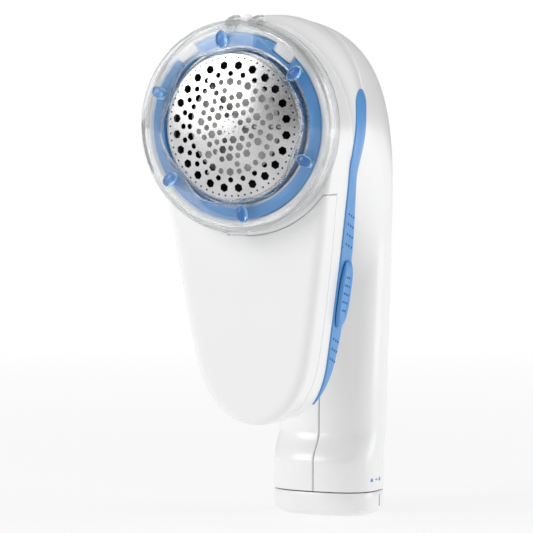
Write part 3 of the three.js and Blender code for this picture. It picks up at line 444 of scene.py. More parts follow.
def skin_of_field():
    """Triangles over the whole surface: one point per crossed grid cell, joined in squares."""
    cells = np.array(body.values.shape) - 1
    total = np.zeros((*cells, 3))
    hits = np.zeros(tuple(cells))
    crossings = []
    for axis in range(3):
        low, high = (np.take(body.values, range(k, cells[axis] + k), axis) for k in (0, 1))
        crossed = (low < 0) != (high < 0)
        share = np.where(crossed, low / np.where(crossed, low - high, 1), 0)
        others = [k for k in range(3) if k != axis]
        for shifts in np.ndindex(2, 2):
            window = [slice(None)] * 3
            place = np.zeros((*cells, 3))
            for k, shift in zip(others, shifts):
                window[k] = slice(shift, cells[k] + shift)
                place[..., k] = shift
            place[..., axis] = share[tuple(window)]
            hit = crossed[tuple(window)]
            total += place * hit[..., None]
            hits += hit
        edges = np.stack(np.nonzero(crossed), 1)
        keep = np.all([(edges[:, k] > 0) & (edges[:, k] < cells[k]) for k in others], axis=0)
        leaving = (low < 0)[tuple(edges[keep].T)]
        crossings.append((edges[keep], leaving != (axis == 1), *np.eye(3, dtype=int)[others]))
    used = hits > 0
    number = np.full(tuple(cells), -1)
    number[used] = np.arange(used.sum())
    where = np.stack(np.nonzero(used), 1)
    points = body.origin + CELL * (where + total[used] / hits[used][:, None])
    quads = []
    for edges, forward, step1, step2 in crossings:
        ring = [edges - step1 - step2, edges - step2, edges, edges - step1]
        quad = np.stack([number[tuple(corner.T)] for corner in ring], 1)
        quads.append(np.where(forward[:, None], quad, quad[:, ::-1]))
    quads = np.concatenate(quads)
    return settle(points), np.concatenate([quads[:, [0, 1, 2]], quads[:, [0, 2, 3]]])


# ---- cutting and thickening skins
def split(points, faces, values):
    """Cuts triangles along the line where a value given at each point is zero."""
    above = values >= 0
    corners = above[faces]
    mixed = corners.any(1) & ~corners.all(1)
    whole = faces[~mixed]
    cut = faces[mixed]
    lone = corners[mixed]
    odd = np.where(lone.sum(1) == 1, lone.argmax(1), (~lone).argmax(1))
    row = np.arange(len(cut))
    a, b, c = (cut[row, (odd + k) % 3] for k in range(3))
    pairs = np.sort(np.concatenate([np.stack([a, b], 1), np.stack([a, c], 1)]), axis=1)
    edges, index = np.unique(pairs, axis=0, return_inverse=True)
    index = index.reshape(-1)
    low = values[edges[:, 0]]
    high = values[edges[:, 1]]
    share = (low / np.where(low == high, 1, low - high))[:, None]
    share = np.clip(share, 0.002, 0.998)
    fresh = mix(points[edges[:, 0]], points[edges[:, 1]], share)
    ab = index[: len(cut)] + len(points)
    ac = index[len(cut) :] + len(points)
    parts = [whole, np.stack([a, ab, ac], 1), np.stack([ab, b, c], 1), np.stack([ab, c, ac], 1)]
    return np.concatenate([points, fresh]), np.concatenate(parts)


def compact(points, faces):
    used, index = np.unique(faces, return_inverse=True)
    return points[used], index.reshape(faces.shape)


def region(points, faces, lines, inside, edge=EDGE):
    """The part of a skin where inside(points) < 0, cut cleanly along each of its lines."""
    near = inside(points)[faces].min(1) < 4 * CELL
    points, faces = compact(points, faces[near])
    for line in lines:
        for shift in (0, edge * 0.35, edge):
            points, faces = split(points, faces, line(points) + shift)
            points, faces = split(points, faces, line(points) - shift)
    keep = inside(points[faces].mean(1)) < 0
    return compact(points, faces[keep])


def boundary(faces):
    edges = np.concatenate([faces[:, [0, 1]], faces[:, [1, 2]], faces[:, [2, 0]]])
    key = np.sort(edges, axis=1)
    _, first, count = np.unique(key, axis=0, return_index=True, return_counts=True)
    return edges[first[count == 1]]


def rim_walls(faces, count):
    """Faces between a sheet's border and the border of its copy, count points on."""
    rim = boundary(faces)
    return np.stack([rim[:, 1], rim[:, 0], rim[:, 0] + count, rim[:, 1] + count], 1)


class Shape:
    """Points and faces, with a shading normal for every face corner where one is given."""

    def __init__(self, points, faces, normals=None):
        self.points = np.asarray(points, float)
        self.faces = [list(map(int, face)) for face in faces]
        self.normals = normals

    def joined(self, *others):
        shapes = [self, *others]
        faces = []
        start = 0
        for shape in shapes:
            faces += [[start + i for i in face] for face in shape.faces]
            start += len(shape.points)
        points = np.concatenate([shape.points for shape in shapes])
        shaded = any(shape.normals is not None for shape in shapes)
        normals = np.concatenate([shape.corner_normals() for shape in shapes]) if shaded else None
        return Shape(points, faces, normals)

    def corner_normals(self):
        if self.normals is not None:
            return self.normals
        rows = []
        for face in self.faces:
            a, b, c = self.points[face[:3]]
            rows += [unit(np.cross(b - a, c - a))] * len(face)
        return np.array(rows)


def together(shapes):
    return shapes[0].joined(*shapes[1:])


def thicken(points, faces, normals, wall, inside=None, edge=EDGE, proud=0.0):
    """A closed wall under a skin, its outer edges rounded where inside(points) nears zero."""
    depth = np.full(len(points), -proud)
    if inside is not None:
        t = np.clip(inside(points) / edge + 1, 0, 1)
        depth += edge * (1 - np.sqrt(np.maximum(1 - t * t, 0))) * 0.9
    outer = points - normals * depth[:, None]
    inner = points - normals * wall
    side = rim_walls(faces, len(points))
    under = faces[:, ::-1]
    # shading: the surface's own normals on top, tilted towards the seam on the rounded edge
    flat = np.cross(outer[faces[:, 1]] - outer[faces[:, 0]], outer[faces[:, 2]] - outer[faces[:, 0]])
    gathered = np.zeros_like(points)
    for k in range(3):
        np.add.at(gathered, faces[:, k], flat)
    shade = np.where((depth > 1e-4 - proud)[:, None], unit(gathered), normals)
    everything = np.concatenate([outer, inner])
    a, b, c = (everything[side[:, k]] for k in (0, 1, 2))
    side_normals = np.repeat(unit(np.cross(b - a, c - a)), 4, axis=0)
    corner_normals = [shade[faces].reshape(-1, 3), -normals[under].reshape(-1, 3), side_normals]
    all_faces = [*faces, *(under + len(points)), *side]
    return Shape(everything, all_faces, np.concatenate(corner_normals))


# ---- turned and drawn shapes
def grid_faces(rows, columns, wrap_rows=False, wrap_columns=False):
    r = np.arange(rows if wrap_rows else rows - 1)
    c = np.arange(columns if wrap_columns else columns - 1)
    r, c = (value.ravel() for value in np.meshgrid(r, c, indexing="ij"))
    r2 = (r + 1) % rows
    c2 = (c + 1) % columns
    return np.stack([r * columns + c, r * columns + c2, r2 * columns + c2, r2 * columns + c], 1)


def soft_profile(corners, radius, steps=3):
    """A closed outline with every corner rounded."""
    corners = [np.array(corner, float) for corner in corners]
    out = []
    for i, corner in enumerate(corners):
        before = corners[i - 1] - corner
        after = corners[(i + 1) % len(corners)] - corner
        reach = min(radius, np.linalg.norm(before) * 0.45, np.linalg.norm(after) * 0.45)
        start = corner + before / np.linalg.norm(before) * reach
        end = corner + after / np.linalg.norm(after) * reach
        for t in np.linspace(0, 1, steps + 1):
            out.append((1 - t) ** 2 * start + 2 * t * (1 - t) * corner + t * t * end)
    return np.array(out)


def round_head(profile, angle):
    """Stands a [radius, y] profile at an angle round the head's axis."""
    radius, y = profile.T
    return xyz(radius * math.cos(angle), y, HEAD_Z + radius * math.sin(angle))


def closed_loop(rings):
    """Joins rings of points into a tube that meets itself."""
    rings = np.array(rings)
    faces = grid_faces(len(rings), rings.shape[1], True, True)
    return Shape(rings.reshape(-1, 3), faces)


def turned(profile, segments=192):
    """A closed [radius, y] profile turned round the head's axis."""
    return closed_loop([round_head(profile, angle) for angle in round_angles(segments)])


def loft(rings):
    """Joins rings of points into a closed body with flat ends."""
    rings = np.array(rings, float)
    rows, columns, _ = rings.shape
    faces = list(grid_faces(rows, columns, False, True))
    faces.append(list(range(columns))[::-1])
    faces.append([(rows - 1) * columns + i for i in range(columns)])
    return Shape(rings.reshape(-1, 3), faces)


def turn_about_head(shape, degrees):
    angle = math.radians(degrees)
    x, y, z = shape.points.T - [[0], [0], [HEAD_Z]]
    turned_x = x * math.cos(angle) + z * math.sin(angle)
    turned_z = -x * math.sin(angle) + z * math.cos(angle)
    return Shape(xyz(turned_x, y, HEAD_Z + turned_z), shape.faces)


def dome(radius, height, rings=4, around=14):
    """A low button on the XY plane, closed underneath, rising along +Z."""
    turn = round_angles(around)
    rows = []
    for angle in np.arange(rings) * math.pi / 2 / rings:
        r = radius * math.cos(angle)
        rows.append(xyz(r * np.cos(turn), r * np.sin(turn), height * math.sin(angle)))
    below = rows[0] - [0, 0, 0.6]
    return loft([below, *rows, rows[-1] * [0.3, 0.3, 1]])


def stand_on(shape, place, normal):
    """Stands a shape drawn on the XY plane on a point of the body's side, +Z along a normal."""
    side = unit(np.cross([0.0, 0.0, 1.0], normal))
    axes = np.array([side, np.cross(normal, side), normal])
    return Shape(place + shape.points @ axes, shape.faces)


# ---- materials
class Nodes:
    """The node tree of a material or world, with short calls for the nodes used here."""

    def __init__(self, owner):
        owner.use_nodes = True
        self.owner = owner
        self.tree = owner.node_tree
        self.shader = self.tree.nodes.get("Principled BSDF")
        self.place = self.add("ShaderNodeTexCoord").outputs["Object"]

    def feed(self, node, inputs):
        """Links each input to another node's output, or gives it a plain value."""
        for key, value in inputs.items():
            if isinstance(value, bpy.types.NodeSocket):
                self.tree.links.new(value, node.inputs[key])
            else:
                node.inputs[key].default_value = value

    def add(self, kind, inputs=None, **settings):
        node = self.tree.nodes.new(kind)
        for key, value in settings.items():
            setattr(node, key, value)
        self.feed(node, inputs or {})
        return node

    def surface(self, **inputs):
        self.feed(self.shader, {key.replace("_", " "): value for key, value in inputs.items()})

    def noise(self, scale, detail=3.0, stretch=(1, 1, 1)):
        mapping = self.add("ShaderNodeMapping", {"Scale": stretch, "Vector": self.place})
        inputs = {"Scale": scale, "Detail": detail, "Vector": mapping.outputs["Vector"]}
        return self.add("ShaderNodeTexNoise", inputs).outputs["Fac"]

    def ramp(self, source, low, high, a, b, kind="LINEAR"):
        """Maps a source between two levels to between two numbers or colours."""
        colours = isinstance(a, tuple)
        inputs = {"Value": source, "From Min": low, "From Max": high}
        if not colours:
            inputs.update({"To Min": a, "To Max": b})
        result = self.add("ShaderNodeMapRange", inputs, interpolation_type=kind).outputs["Result"]
        if not colours:
            return result
        inputs = {"Factor": result, 6: (*a, 1), 7: (*b, 1)}
        return self.add("ShaderNodeMix", inputs, data_type="RGBA").outputs[2]

    def sum_of(self, operation, a, b=0.0):
        return self.add("ShaderNodeMath", {0: a, 1: b}, operation=operation).outputs[0]

    def bump(self, source, distance_mm):
        node = self.add("ShaderNodeBump", {"Distance": distance_mm / 1000, "Height": source})
        self.surface(Normal=node.outputs["Normal"])

    def blend_with(self, other, share):
        """Mixes another shader into the surface."""
        inputs = {"Fac": share, 1: self.shader.outputs["BSDF"], 2: other}
        blend = self.add("ShaderNodeMixShader", inputs)
        self.feed(self.tree.nodes["Material Output"], {"Surface": blend.outputs["Shader"]})


def new_material(name):
    return Nodes(bpy.data.materials.new(name))


def plastic(name, colour, roughness, texture_mm=0.004, texture_scale=2200, coat=0.0, uneven=1.0):
    """Moulded plastic: faint cloudiness, polish that varies and a very fine moulded texture."""
    nodes = new_material(name)
    darker = tuple(c * (1 - 0.06 * uneven) for c in colour)
    polished = roughness * (1 - 0.18 * uneven)
    dull = roughness * (1 + 0.25 * uneven)
    nodes.surface(
        Base_Color=nodes.ramp(nodes.noise(30), 0.35, 0.65, darker, colour),
        Roughness=nodes.ramp(nodes.noise(140, 5), 0.3, 0.7, polished, dull),
        Coat_Weight=coat,
        Coat_Roughness=0.16,
    )
    nodes.bump(nodes.noise(texture_scale, 2), texture_mm)
    return nodes.owner


def metal(name, colour, roughness, stretch=(1, 1, 1)):
    """Bare metal with fine directional marks and uneven polish."""
    nodes = new_material(name)
    darker = tuple(c * 0.82 for c in colour)
    marks = nodes.noise(900, 4, stretch)
    nodes.surface(
        Base_Color=nodes.ramp(nodes.noise(90), 0.3, 0.7, darker, colour),
        Roughness=nodes.ramp(marks, 0.3, 0.7, roughness * 0.8, roughness * 1.3),
        Metallic=1.0,
    )
    nodes.bump(marks, 0.006)
    return nodes.owner


def clear_plastic(name, tint, roughness, bare):
    """Clear moulded plastic: part glass, part plain see-through, with faint flow marks."""
    nodes = new_material(name)
    flow = nodes.noise(60, 3)
    nodes.surface(
        Base_Color=(*tint, 1),
        Transmission_Weight=1.0,
        IOR=1.47,
        Roughness=nodes.ramp(flow, 0.3, 0.7, roughness * 0.6, roughness * 1.6),
    )
    nodes.bump(flow, 0.006)
    nodes.blend_with(nodes.add("ShaderNodeBsdfTransparent").outputs["BSDF"], bare)
    return nodes.owner


def paper(name, shade, near, far):
    """Pale paper that fades into the backdrop's own brightness far from the object."""
    nodes = new_material(name)
    tone = nodes.ramp(nodes.noise(40), 0.3, 0.7, (shade * 0.99,) * 3, (shade,) * 3)
    nodes.surface(Base_Color=tone, Roughness=0.9)
    length = nodes.add("ShaderNodeVectorMath", {0: nodes.place}, operation="LENGTH")
    fading = nodes.ramp(length.outputs["Value"], near, far, 0.78, 1.0)
    glow = nodes.add("ShaderNodeEmission", {"Strength": BACKDROP})
    nodes.blend_with(glow.outputs["Emission"], fading)
    return nodes.owner


SLOT_MATERIALS = {
    "white_body": plastic("white_gloss", (0.87, 0.87, 0.872), 0.26, 0.0004, 1600, 0.25, 0.2),
    "inner_plastic": plastic("inner_off_white", (0.68, 0.68, 0.65), 0.45, 0.01, 1500),
    "blue_plastic": plastic("blue_satin", (0.085, 0.3, 0.66), 0.33, 0.006, 1800),
    "clear_plastic": clear_plastic("clear_guard", (0.96, 0.98, 0.99), 0.015, 0.36),
    "foil_steel": metal("foil_steel", (0.62, 0.62, 0.63), 0.26, (1, 1, 6)),
    "blade_steel": metal("blade_steel", (0.5, 0.5, 0.51), 0.3, (1, 8, 1)),
    "plated_steel": metal("plated_steel", (0.55, 0.56, 0.57), 0.36),
    "contact_brass": metal("contact_brass", (0.62, 0.45, 0.18), 0.34),
    "dark_plastic": plastic("dark_moulding", (0.03, 0.032, 0.035), 0.45, 0.01, 1500),
    "black_plastic": plastic("black_moulding", (0.012, 0.012, 0.013), 0.5, 0.01, 1500),
    "red_wire": plastic("red_jacket", (0.4, 0.02, 0.015), 0.45, 0.006, 1500),
    "cell_jacket": plastic("cell_jacket", (0.03, 0.09, 0.07), 0.3, 0.004, 1200),
}
blue_dots = plastic("blue_satin_deep", (0.03, 0.17, 0.45), 0.36, 0.006, 1800)
tinted = clear_plastic("clear_nub", (0.3, 0.58, 0.88), 0.01, 0.1)

for entry in frame["record"]["subparts"]:
    node = frame["nodes"][entry["node"]]
    node.data.materials.clear()
    node.data.materials.append(SLOT_MATERIALS[entry["material_slot"]])


# ---- objects
def make(name, shape, ride_on, slot, material=None):
    """Makes a piece that rides on a body. One named as a CAD node stands for that node."""
    mesh = bpy.data.meshes.new(name)
    mesh.from_pydata((shape.points / 1000).tolist(), [], shape.faces)
    mesh.update()
    for polygon in mesh.polygons:
        polygon.use_smooth = True
    if shape.normals is None:
        mesh.set_sharp_from_angle(angle=math.radians(35))
    else:
        mesh.normals_split_custom_set(shape.normals.tolist())
    mesh.materials.append(material or SLOT_MATERIALS[slot])
    piece = bpy.data.objects.new(name, mesh)
    bpy.context.scene.collection.objects.link(piece)
    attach(piece, ride_on)
    if name in frame["nodes"]:
        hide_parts(name)


# ---- dividing lines of the shell
# Each line is a function of points: zero on the line, and below zero inside what it bounds.
def smooth_line(knots, count):
    """A Catmull-Rom line through the knots, as y over height."""
    padded = np.concatenate([2 * knots[:1] - knots[1:2], knots, 2 * knots[-1:] - knots[-2:-1]])
    out = []
    for i in range(len(knots) - 1):
        p0, p1, p2, p3 = padded[i : i + 4]
        t = np.linspace(0, 1, count, endpoint=False)[:, None]
        bend = (2 * p0 - 5 * p1 + 4 * p2 - p3) * t**2 + (3 * p1 - p0 - 3 * p2 + p3) * t**3
        out.append(0.5 * (2 * p1 + (p2 - p0) * t + bend))
    out.append(knots[-1:])
    return np.concatenate(out)


parting_line = smooth_line(PARTING, 20)


def parting_y(z):
    return np.interp(z, parting_line[:, 1], parting_line[:, 0])


def past_parting(p):
    return p[:, 1] - parting_y(p[:, 2])


def head_radius(p):
    return np.hypot(p[:, 0], p[:, 2] - HEAD_Z)


def bin_depth(p):
    return p[:, 1] - (front_plane_y(p[:, 2]) + BIN_SEAM_DEPTH)


def bin_shoulder(p):
    return p[:, 2] - BIN_SHOULDER_Z


def bin_top(p):
    return BIN_TOP_R - head_radius(p)


def in_bin(p):
    return np.maximum.reduce([bin_depth(p), bin_shoulder(p), bin_top(p)])


def above_cap(p):
    return CAP_TOP + 0.1 - p[:, 2]


def mouth(p):
    """Positive inside the round opening of the drum's front face."""
    return np.where(p[:, 1] < DRUM_FRONT_Y + 6, BOWL_MOUTH_R - head_radius(p), -9)


def hinge_notch(p):
    """Positive inside the two notches that the guard's hinge arms pass through."""
    across = 2.0 - np.abs(np.abs(p[:, 0]) - ARM_X)
    behind = HINGE_Y + 3.0 - p[:, 1]
    above = p[:, 2] - (HINGE_Z - 8)
    return np.minimum(np.minimum(across, behind), above)


def screw_well(p):
    """Positive inside the screw wells of the left-hand side."""
    value = np.maximum.reduce([WELL_R - np.hypot(p[:, 1] - y, p[:, 2] - z) for y, z in WELLS])
    return np.where(p[:, 0] < 0, np.maximum(value, -9), -9)


def shifted(line, amount):
    return lambda p: line(p) + amount


skin_points, skin_faces = skin_of_field()


def shell(lines, inside, wall=WALL, edge=EDGE, proud=0.0):
    """The part of the body's skin inside a set of lines, thickened."""
    points, faces = region(skin_points, skin_faces, lines, inside, edge)
    return thicken(points, faces, body.normal(points), wall, inside, edge, proud)


# ---- front housing and lint bin
HALF = SEAM / 2
HALF_BIN = BIN_SEAM / 2


def in_housing(p):
    return np.maximum.reduce([past_parting(p) + HALF, mouth(p), HALF_BIN - in_bin(p), hinge_notch(p)])


def bin_tub():
    """The tub behind the bin's skin, seen when the bin is pulled out."""
    outline = pear_outline()
    heights = np.linspace(TIP_Z + 4.5, HEAD_Z - 50, 40)
    half = 0.98 * (np.interp(heights, outline[:, 1], outline[:, 0]) - 3.6)
    rings = []
    for y, shrink in ((-73.0, 0.0), (BIN_BACK_Y + 2, 0.6), (BIN_BACK_Y, 2.6)):
        right = xyz(half - shrink, y, heights + shrink * 0.4)
        rings.append(np.concatenate([right, right[::-1] * [-1, 1, 1]]))
    return loft(rings)


bin_bounds = (bin_depth, bin_shoulder, bin_top)
housing_lines = [shifted(past_parting, HALF), mouth, hinge_notch]
housing_lines += [shifted(line, -HALF_BIN) for line in bin_bounds]
make("front_housing", shell(housing_lines, in_housing), "case", "white_body")
bin_skin = shell([shifted(line, HALF_BIN) for line in bin_bounds], shifted(in_bin, HALF_BIN))
make("lint_bin", bin_skin.joined(bin_tub()), "bin", "white_body")


# ---- back shells
def well_tube(y, z):
    """The sleeve that a screw head sits at the bottom of."""
    turn = round_angles(40)
    rings = []
    for radius, at_skin in ((WELL_R, True), (WELL_R, False), (WELL_R + 1.2, False), (WELL_R + 1.2, True)):
        py = y + radius * np.cos(turn)
        pz = z + radius * np.sin(turn)
        rings.append(on_side(py, pz, -1) + [0.5, 0, 0] if at_skin else xyz(WELL_FLOOR_X, py, pz))
    return closed_loop(rings)


def side_shell(side):
    """One half of the arch and handle, on side +1 or -1."""

    def middle(p):
        return HALF - side * p[:, 0]

    lines = [shifted(past_parting, -HALF), shifted(above_cap, HALF), middle]
    lines += [screw_well] * (side < 0)

    def inside(p):
        bounds = [HALF - past_parting(p), middle(p), above_cap(p) + HALF]
        return np.maximum.reduce(bounds + [screw_well(p)])

    return shell(lines, inside)


tubes = [well_tube(y, z) for y, z in WELLS]
make("left_shell", side_shell(-1).joined(*tubes), "case", "white_body")
make("right_shell", side_shell(1), "case", "white_body")


# ---- grip trims
def trim_half_width(z):
    waist = mix(5.2, 6.9, ease(z, 71.5, 126.5)) + 1.3 * ease(z, 147.5, 162.5)
    tip = np.clip((z - TRIM_TIP) / 34, 0, 1)
    end = np.clip((TRIM_TOP - z) / 7, 0, 1)
    return waist * np.sqrt(np.maximum(0, 1 - (1 - end) ** 2)) * np.sin(math.pi / 2 * tip) ** 0.8


trim_heights = np.linspace(TRIM_TIP - 20, TRIM_TOP + 20, 1200)
trim_halves = trim_half_width(np.clip(trim_heights, TRIM_TIP, TRIM_TOP))
trim_halves -= np.maximum(0, TRIM_TIP - trim_heights) + np.maximum(0, trim_heights - TRIM_TOP)
trim_slopes = np.hypot(1, np.gradient(trim_halves, trim_heights))


def trim_y(z):
    return parting_y(z) - TRIM_FORWARD - 0.8 * ease(z, 147.5, 162.5)


def beside_trim(p):
    """Distance outside the trim's outline in side view."""
    half = np.interp(p[:, 2], trim_heights, trim_halves)
    slope = np.interp(p[:, 2], trim_heights, trim_slopes)
    return (np.abs(p[:, 1] - trim_y(p[:, 2])) - half) / slope


def inside_trim_line(p):
    """Distance towards the middle from where the trims stop, in front view."""
    return np.interp(p[:, 2], [TIP_Z - 10, TIP_Z + 45, HEAD_Z + 60], [5, 22, 27]) - np.abs(p[:, 0])


def grip_trim(side):
    def inside(p):
        return np.maximum(np.maximum(beside_trim(p), inside_trim_line(p)) + TRIM_GAP, 1 - side * p[:, 0])

    lines = [shifted(beside_trim, TRIM_GAP), shifted(inside_trim_line, TRIM_GAP)]
    return shell(lines, inside, 1.0, TRIM_EDGE, TRIM_PROUD)


def grip_dots(rows, side, columns=3, pitch=3.0, slant=0.9, base=TRIM_PROUD):
    """Rows of small raised dots that follow the trim."""
    dots = []
    for height in rows:
        for k in range(columns):
            step = k - (columns - 1) / 2
            z = np.array([height - step * slant])
            place = on_side(trim_y(z) + step * pitch, z, side)
            normal = body.normal(place)[0]
            dots.append(stand_on(dome(DOT_R, DOT_HEIGHT), place[0] + normal * base, normal))
    return dots


for name, side in (("right", 1), ("left", -1)):
    make("grip_trim_" + name, grip_trim(side), "case", "blue_plastic")
    dots = grip_dots(DOTS_ABOVE, side) + grip_dots(DOTS_BELOW, side, pitch=2.6)
    make("grip_dots_" + name, together(dots), "case", "blue_plastic", blue_dots)


# ---- switch pad
def thumb_pad():
    """The oval switch pad: a rounded rim and a shallow dish."""
    around = 72
    turn = round_angles(around)
    levels = [1.0, *np.cos(np.linspace(0.0, math.pi / 2, 16))[1:-1], 0.02]
    outer = []
    inner = []
    for level in levels:
        y = trim_y(PAD_Z) + PAD_HALF_Y * level * power_of(np.cos(turn), 2 / PAD_SQUARENESS)
        z = PAD_Z + PAD_HALF_Z * level * power_of(np.sin(turn), 2 / PAD_SQUARENESS)
        base = on_side(y, z)
        height = PAD_RIM + 1.7 * (1 - level**8) ** 0.5 - 0.5 * ease(1 - level, 0.12, 0.5)
        outer.append(base + body.normal(base) * height)
        base = on_side(*outer[-1][:, 1:].T)
        inner.append(base + body.normal(base) * PAD_UNDER)
    quads = grid_faces(len(levels), around, False, True)
    middle = (len(levels) - 1) * around
    fan = [[middle + i, middle + (i + 1) % around, middle] for i in range(1, around - 1)]
    triangles = np.concatenate([quads[:, [0, 1, 2]], quads[:, [0, 2, 3]], fan])
    points = np.concatenate(outer + inner)
    count = len(points) // 2
    faces = [*triangles, *(triangles[:, ::-1] + count), *rim_walls(triangles, count)]
    return Shape(points, faces)


make("switch_knob", thumb_pad(), "power_slide", "blue_plastic")
pad_dots = []
for row, columns in zip((7.2, 3.6, 0, -3.6, -7.2), (2, 3, 3, 3, 2)):
    pad_dots += grip_dots([PAD_Z + row], 1, columns, 2.2, 0.5, PAD_TOP)
make("switch_knob_dots", together(pad_dots), "power_slide", "blue_plastic", blue_dots)


# ---- collar and foil ring
def rounded_bar(half_x, z0, z1, y0, y1, radius):
    """A bar along Y with rounded corners in front view, standing above the head's axis."""
    side = half_x - radius
    high = z1 - radius
    low = z0 + radius
    corners = []
    for quarter, (x, z) in enumerate([(side, high), (-side, high), (-side, low), (side, low)]):
        for angle in np.linspace(quarter, quarter + 1, 6) * math.pi / 2:
            corners.append((x + radius * math.cos(angle), z + radius * math.sin(angle)))
    corners = np.array(corners)
    outward = np.sign(corners - corners.mean(0))
    rings = []
    for y, shrink in ((y1, 0.0), (y0 + 0.35, 0.0), (y0 + 0.1, 0.12), (y0, 0.4)):
        x, z = (corners - outward * shrink).T
        rings.append(xyz(x, y, HEAD_Z + z))
    return loft(rings)


def head_collar():
    """The white collar round the blue ring, with its two tabs."""
    corners = [(COLLAR_INNER_R, COLLAR_BACK_Y), (COLLAR_INNER_R, -91.4), (36.3, -91.4)]
    corners += [(36.3, -88.3), (RING_R + 0.3, -88.3), (RING_R + 0.3, COLLAR_FRONT_Y)]
    corners += [(COLLAR_R, COLLAR_FRONT_Y), (COLLAR_R, COLLAR_BACK_Y)]
    bar = rounded_bar(TAB_HALF, TAB_INNER_R, TAB_OUTER_R, DISC_Y - 0.35, COLLAR_BACK_Y - 2, 1.1)
    tabs = [turn_about_head(bar, side * TAB_DEG) for side in (-1, 1)]
    return turned(soft_profile(corners, 0.35)).joined(*tabs)


make("head_collar", head_collar(), "case", "white_body")


def ring_with_notches():
    """The blue ring: one section swept round, its outer edge set back beside the tabs."""
    half_notch = math.degrees(math.asin((TAB_HALF + 0.25) / 38.5))
    stops = [TAB_DEG + half_notch]
    for middle in (360 - TAB_DEG, 360 + TAB_DEG):
        stops += [middle - half_notch, middle + half_notch]
    rings = []
    for start, end, outer in zip(stops, stops[1:], (RING_R, TAB_INNER_R - 0.3) * 2):
        corners = [(RING_INNER_R, DISC_Y), (outer, DISC_Y), (outer, -88.6), (RING_INNER_R, -88.6)]
        for deg in np.linspace(start, end, max(6, int((end - start) / 2))):
            rings.append(round_head(soft_profile(corners, 0.5), math.radians(90 - deg))[::-1])
    return closed_loop(rings)


make("foil_ring", ring_with_notches(), "case", "blue_plastic")


# ---- foil
def foil_holes():
    """Rings of holes at the rim and round the middle, and twisted rows of mixed holes between."""
    holes = []
    for radius, count, size, corners in HOLE_RINGS:
        for i in range(count):
            angle = 2 * math.pi * (i + 0.5 * (corners == HEX)) / count
            holes.append((radius * math.cos(angle), radius * math.sin(angle), size, corners, angle))
    for i, j in np.ndindex(17, 17):
        x = LATTICE_PITCH * (i - 8 + (j - 8) / 2 + 0.35)
        z = LATTICE_PITCH * (j - 8 + 0.4) * math.sqrt(3) / 2
        radius = math.hypot(x, z)
        if not LATTICE_FROM_R < radius < LATTICE_TO_R:
            continue
        turn = math.atan2(z, x) + LATTICE_TWIST * radius
        place = (radius * math.cos(turn), radius * math.sin(turn))
        for size, corners in [(1.8, HEX)] * ((i - j) % 2) + [(1.22, ROUND)]:
            if all(math.dist(place, hole[:2]) - hole[2] - size > HOLE_WALL for hole in holes):
                holes.append((*place, size, corners, 0.0))
                break
    return holes


HOLES = foil_holes()


def hole_distance(p):
    """Distance to the nearest hole's edge in front view, negative inside a hole."""
    x = p[:, 0]
    z = p[:, 2] - HEAD_Z
    best = np.full(len(p), 9.0)
    for cx, cz, size, corners, angle in HOLES:
        near = np.abs(x - cx) + np.abs(z - cz) < 5
        dx = x[near] - cx
        dz = z[near] - cz
        gap = np.hypot(dx, dz) - size
        if corners:
            turns = angle + math.pi / 6 + np.arange(3) * math.pi / 3
            across = np.abs(np.outer(dx, np.cos(turns)) + np.outer(dz, np.sin(turns)))
            gap = across.max(1) - size * math.cos(math.pi / 6)
        best[near] = np.minimum(best[near], gap)
    return best


def foil_y(radius):
    return FOIL_APEX_Y + FOIL_SPHERE - np.sqrt(FOIL_SPHERE**2 - radius**2)


def even_disc(count):
    """A flat disc of even triangles in rings: its [x, z] points, and faces."""
    points = [(0.0, 0.0)]
    faces = []
    for ring in range(1, count + 1):
        many = 6 * ring
        inside = max(many - 6, 1)
        start = len(points)
        radius = FOIL_RIM_R * ring / count
        points += [(radius * math.cos(a), radius * math.sin(a)) for a in round_angles(many)]
        for i in range(many):
            sector, k = divmod(i, ring)
            outer = start + (i + 1) % many
            inner = [start - inside + (sector * (ring - 1) + k + step) % inside for step in (0, 1)]
            faces.append((inner[0], start + i, outer))
            if k < ring - 1:
                faces.append((inner[0], outer, inner[1]))
    return np.array(points), np.array(faces)


def perforated_foil():
    flat, faces = even_disc(int(FOIL_RIM_R / FOIL_CELL))
    sheet = xyz(flat[:, 0], foil_y(np.hypot(*flat.T)), HEAD_Z + flat[:, 1])
    sheet, faces = split(sheet, faces, hole_distance(sheet))
    sheet, faces = compact(sheet, faces[hole_distance(sheet[faces].mean(1)) > 0])
    normals = unit(sheet - [0, FOIL_APEX_Y + FOIL_SPHERE, HEAD_Z])
    return thicken(sheet, faces, normals, FOIL_SHEET)


def foil_skirt():
    """The foil's rim, bent back under the blue ring."""
    start = FOIL_RIM_R - 0.1
    corners = [(start, FOIL_RIM_Y - 0.02), (31.2, FOIL_RIM_Y + 0.25), (32.3, FOIL_RIM_Y + 1.7)]
    corners += [(33.3, -92.5), (36.2, -92.1), (36.2, -91.7), (33.0, -91.9)]
    corners += [(32.0, FOIL_RIM_Y + 1.9), (30.9, FOIL_RIM_Y + 0.6), (start, FOIL_RIM_Y + 0.36)]
    return turned(soft_profile(corners, 0.3))


make("foil_screen", perforated_foil().joined(foil_skirt()), "case", "foil_steel")


# ---- clear guard
def flange_y(radius):
    return mix(GUARD_LIP_Y, GUARD_RIM_Y, (radius - LIP_R) / (GUARD_R - LIP_R)) - GUARD_THICK


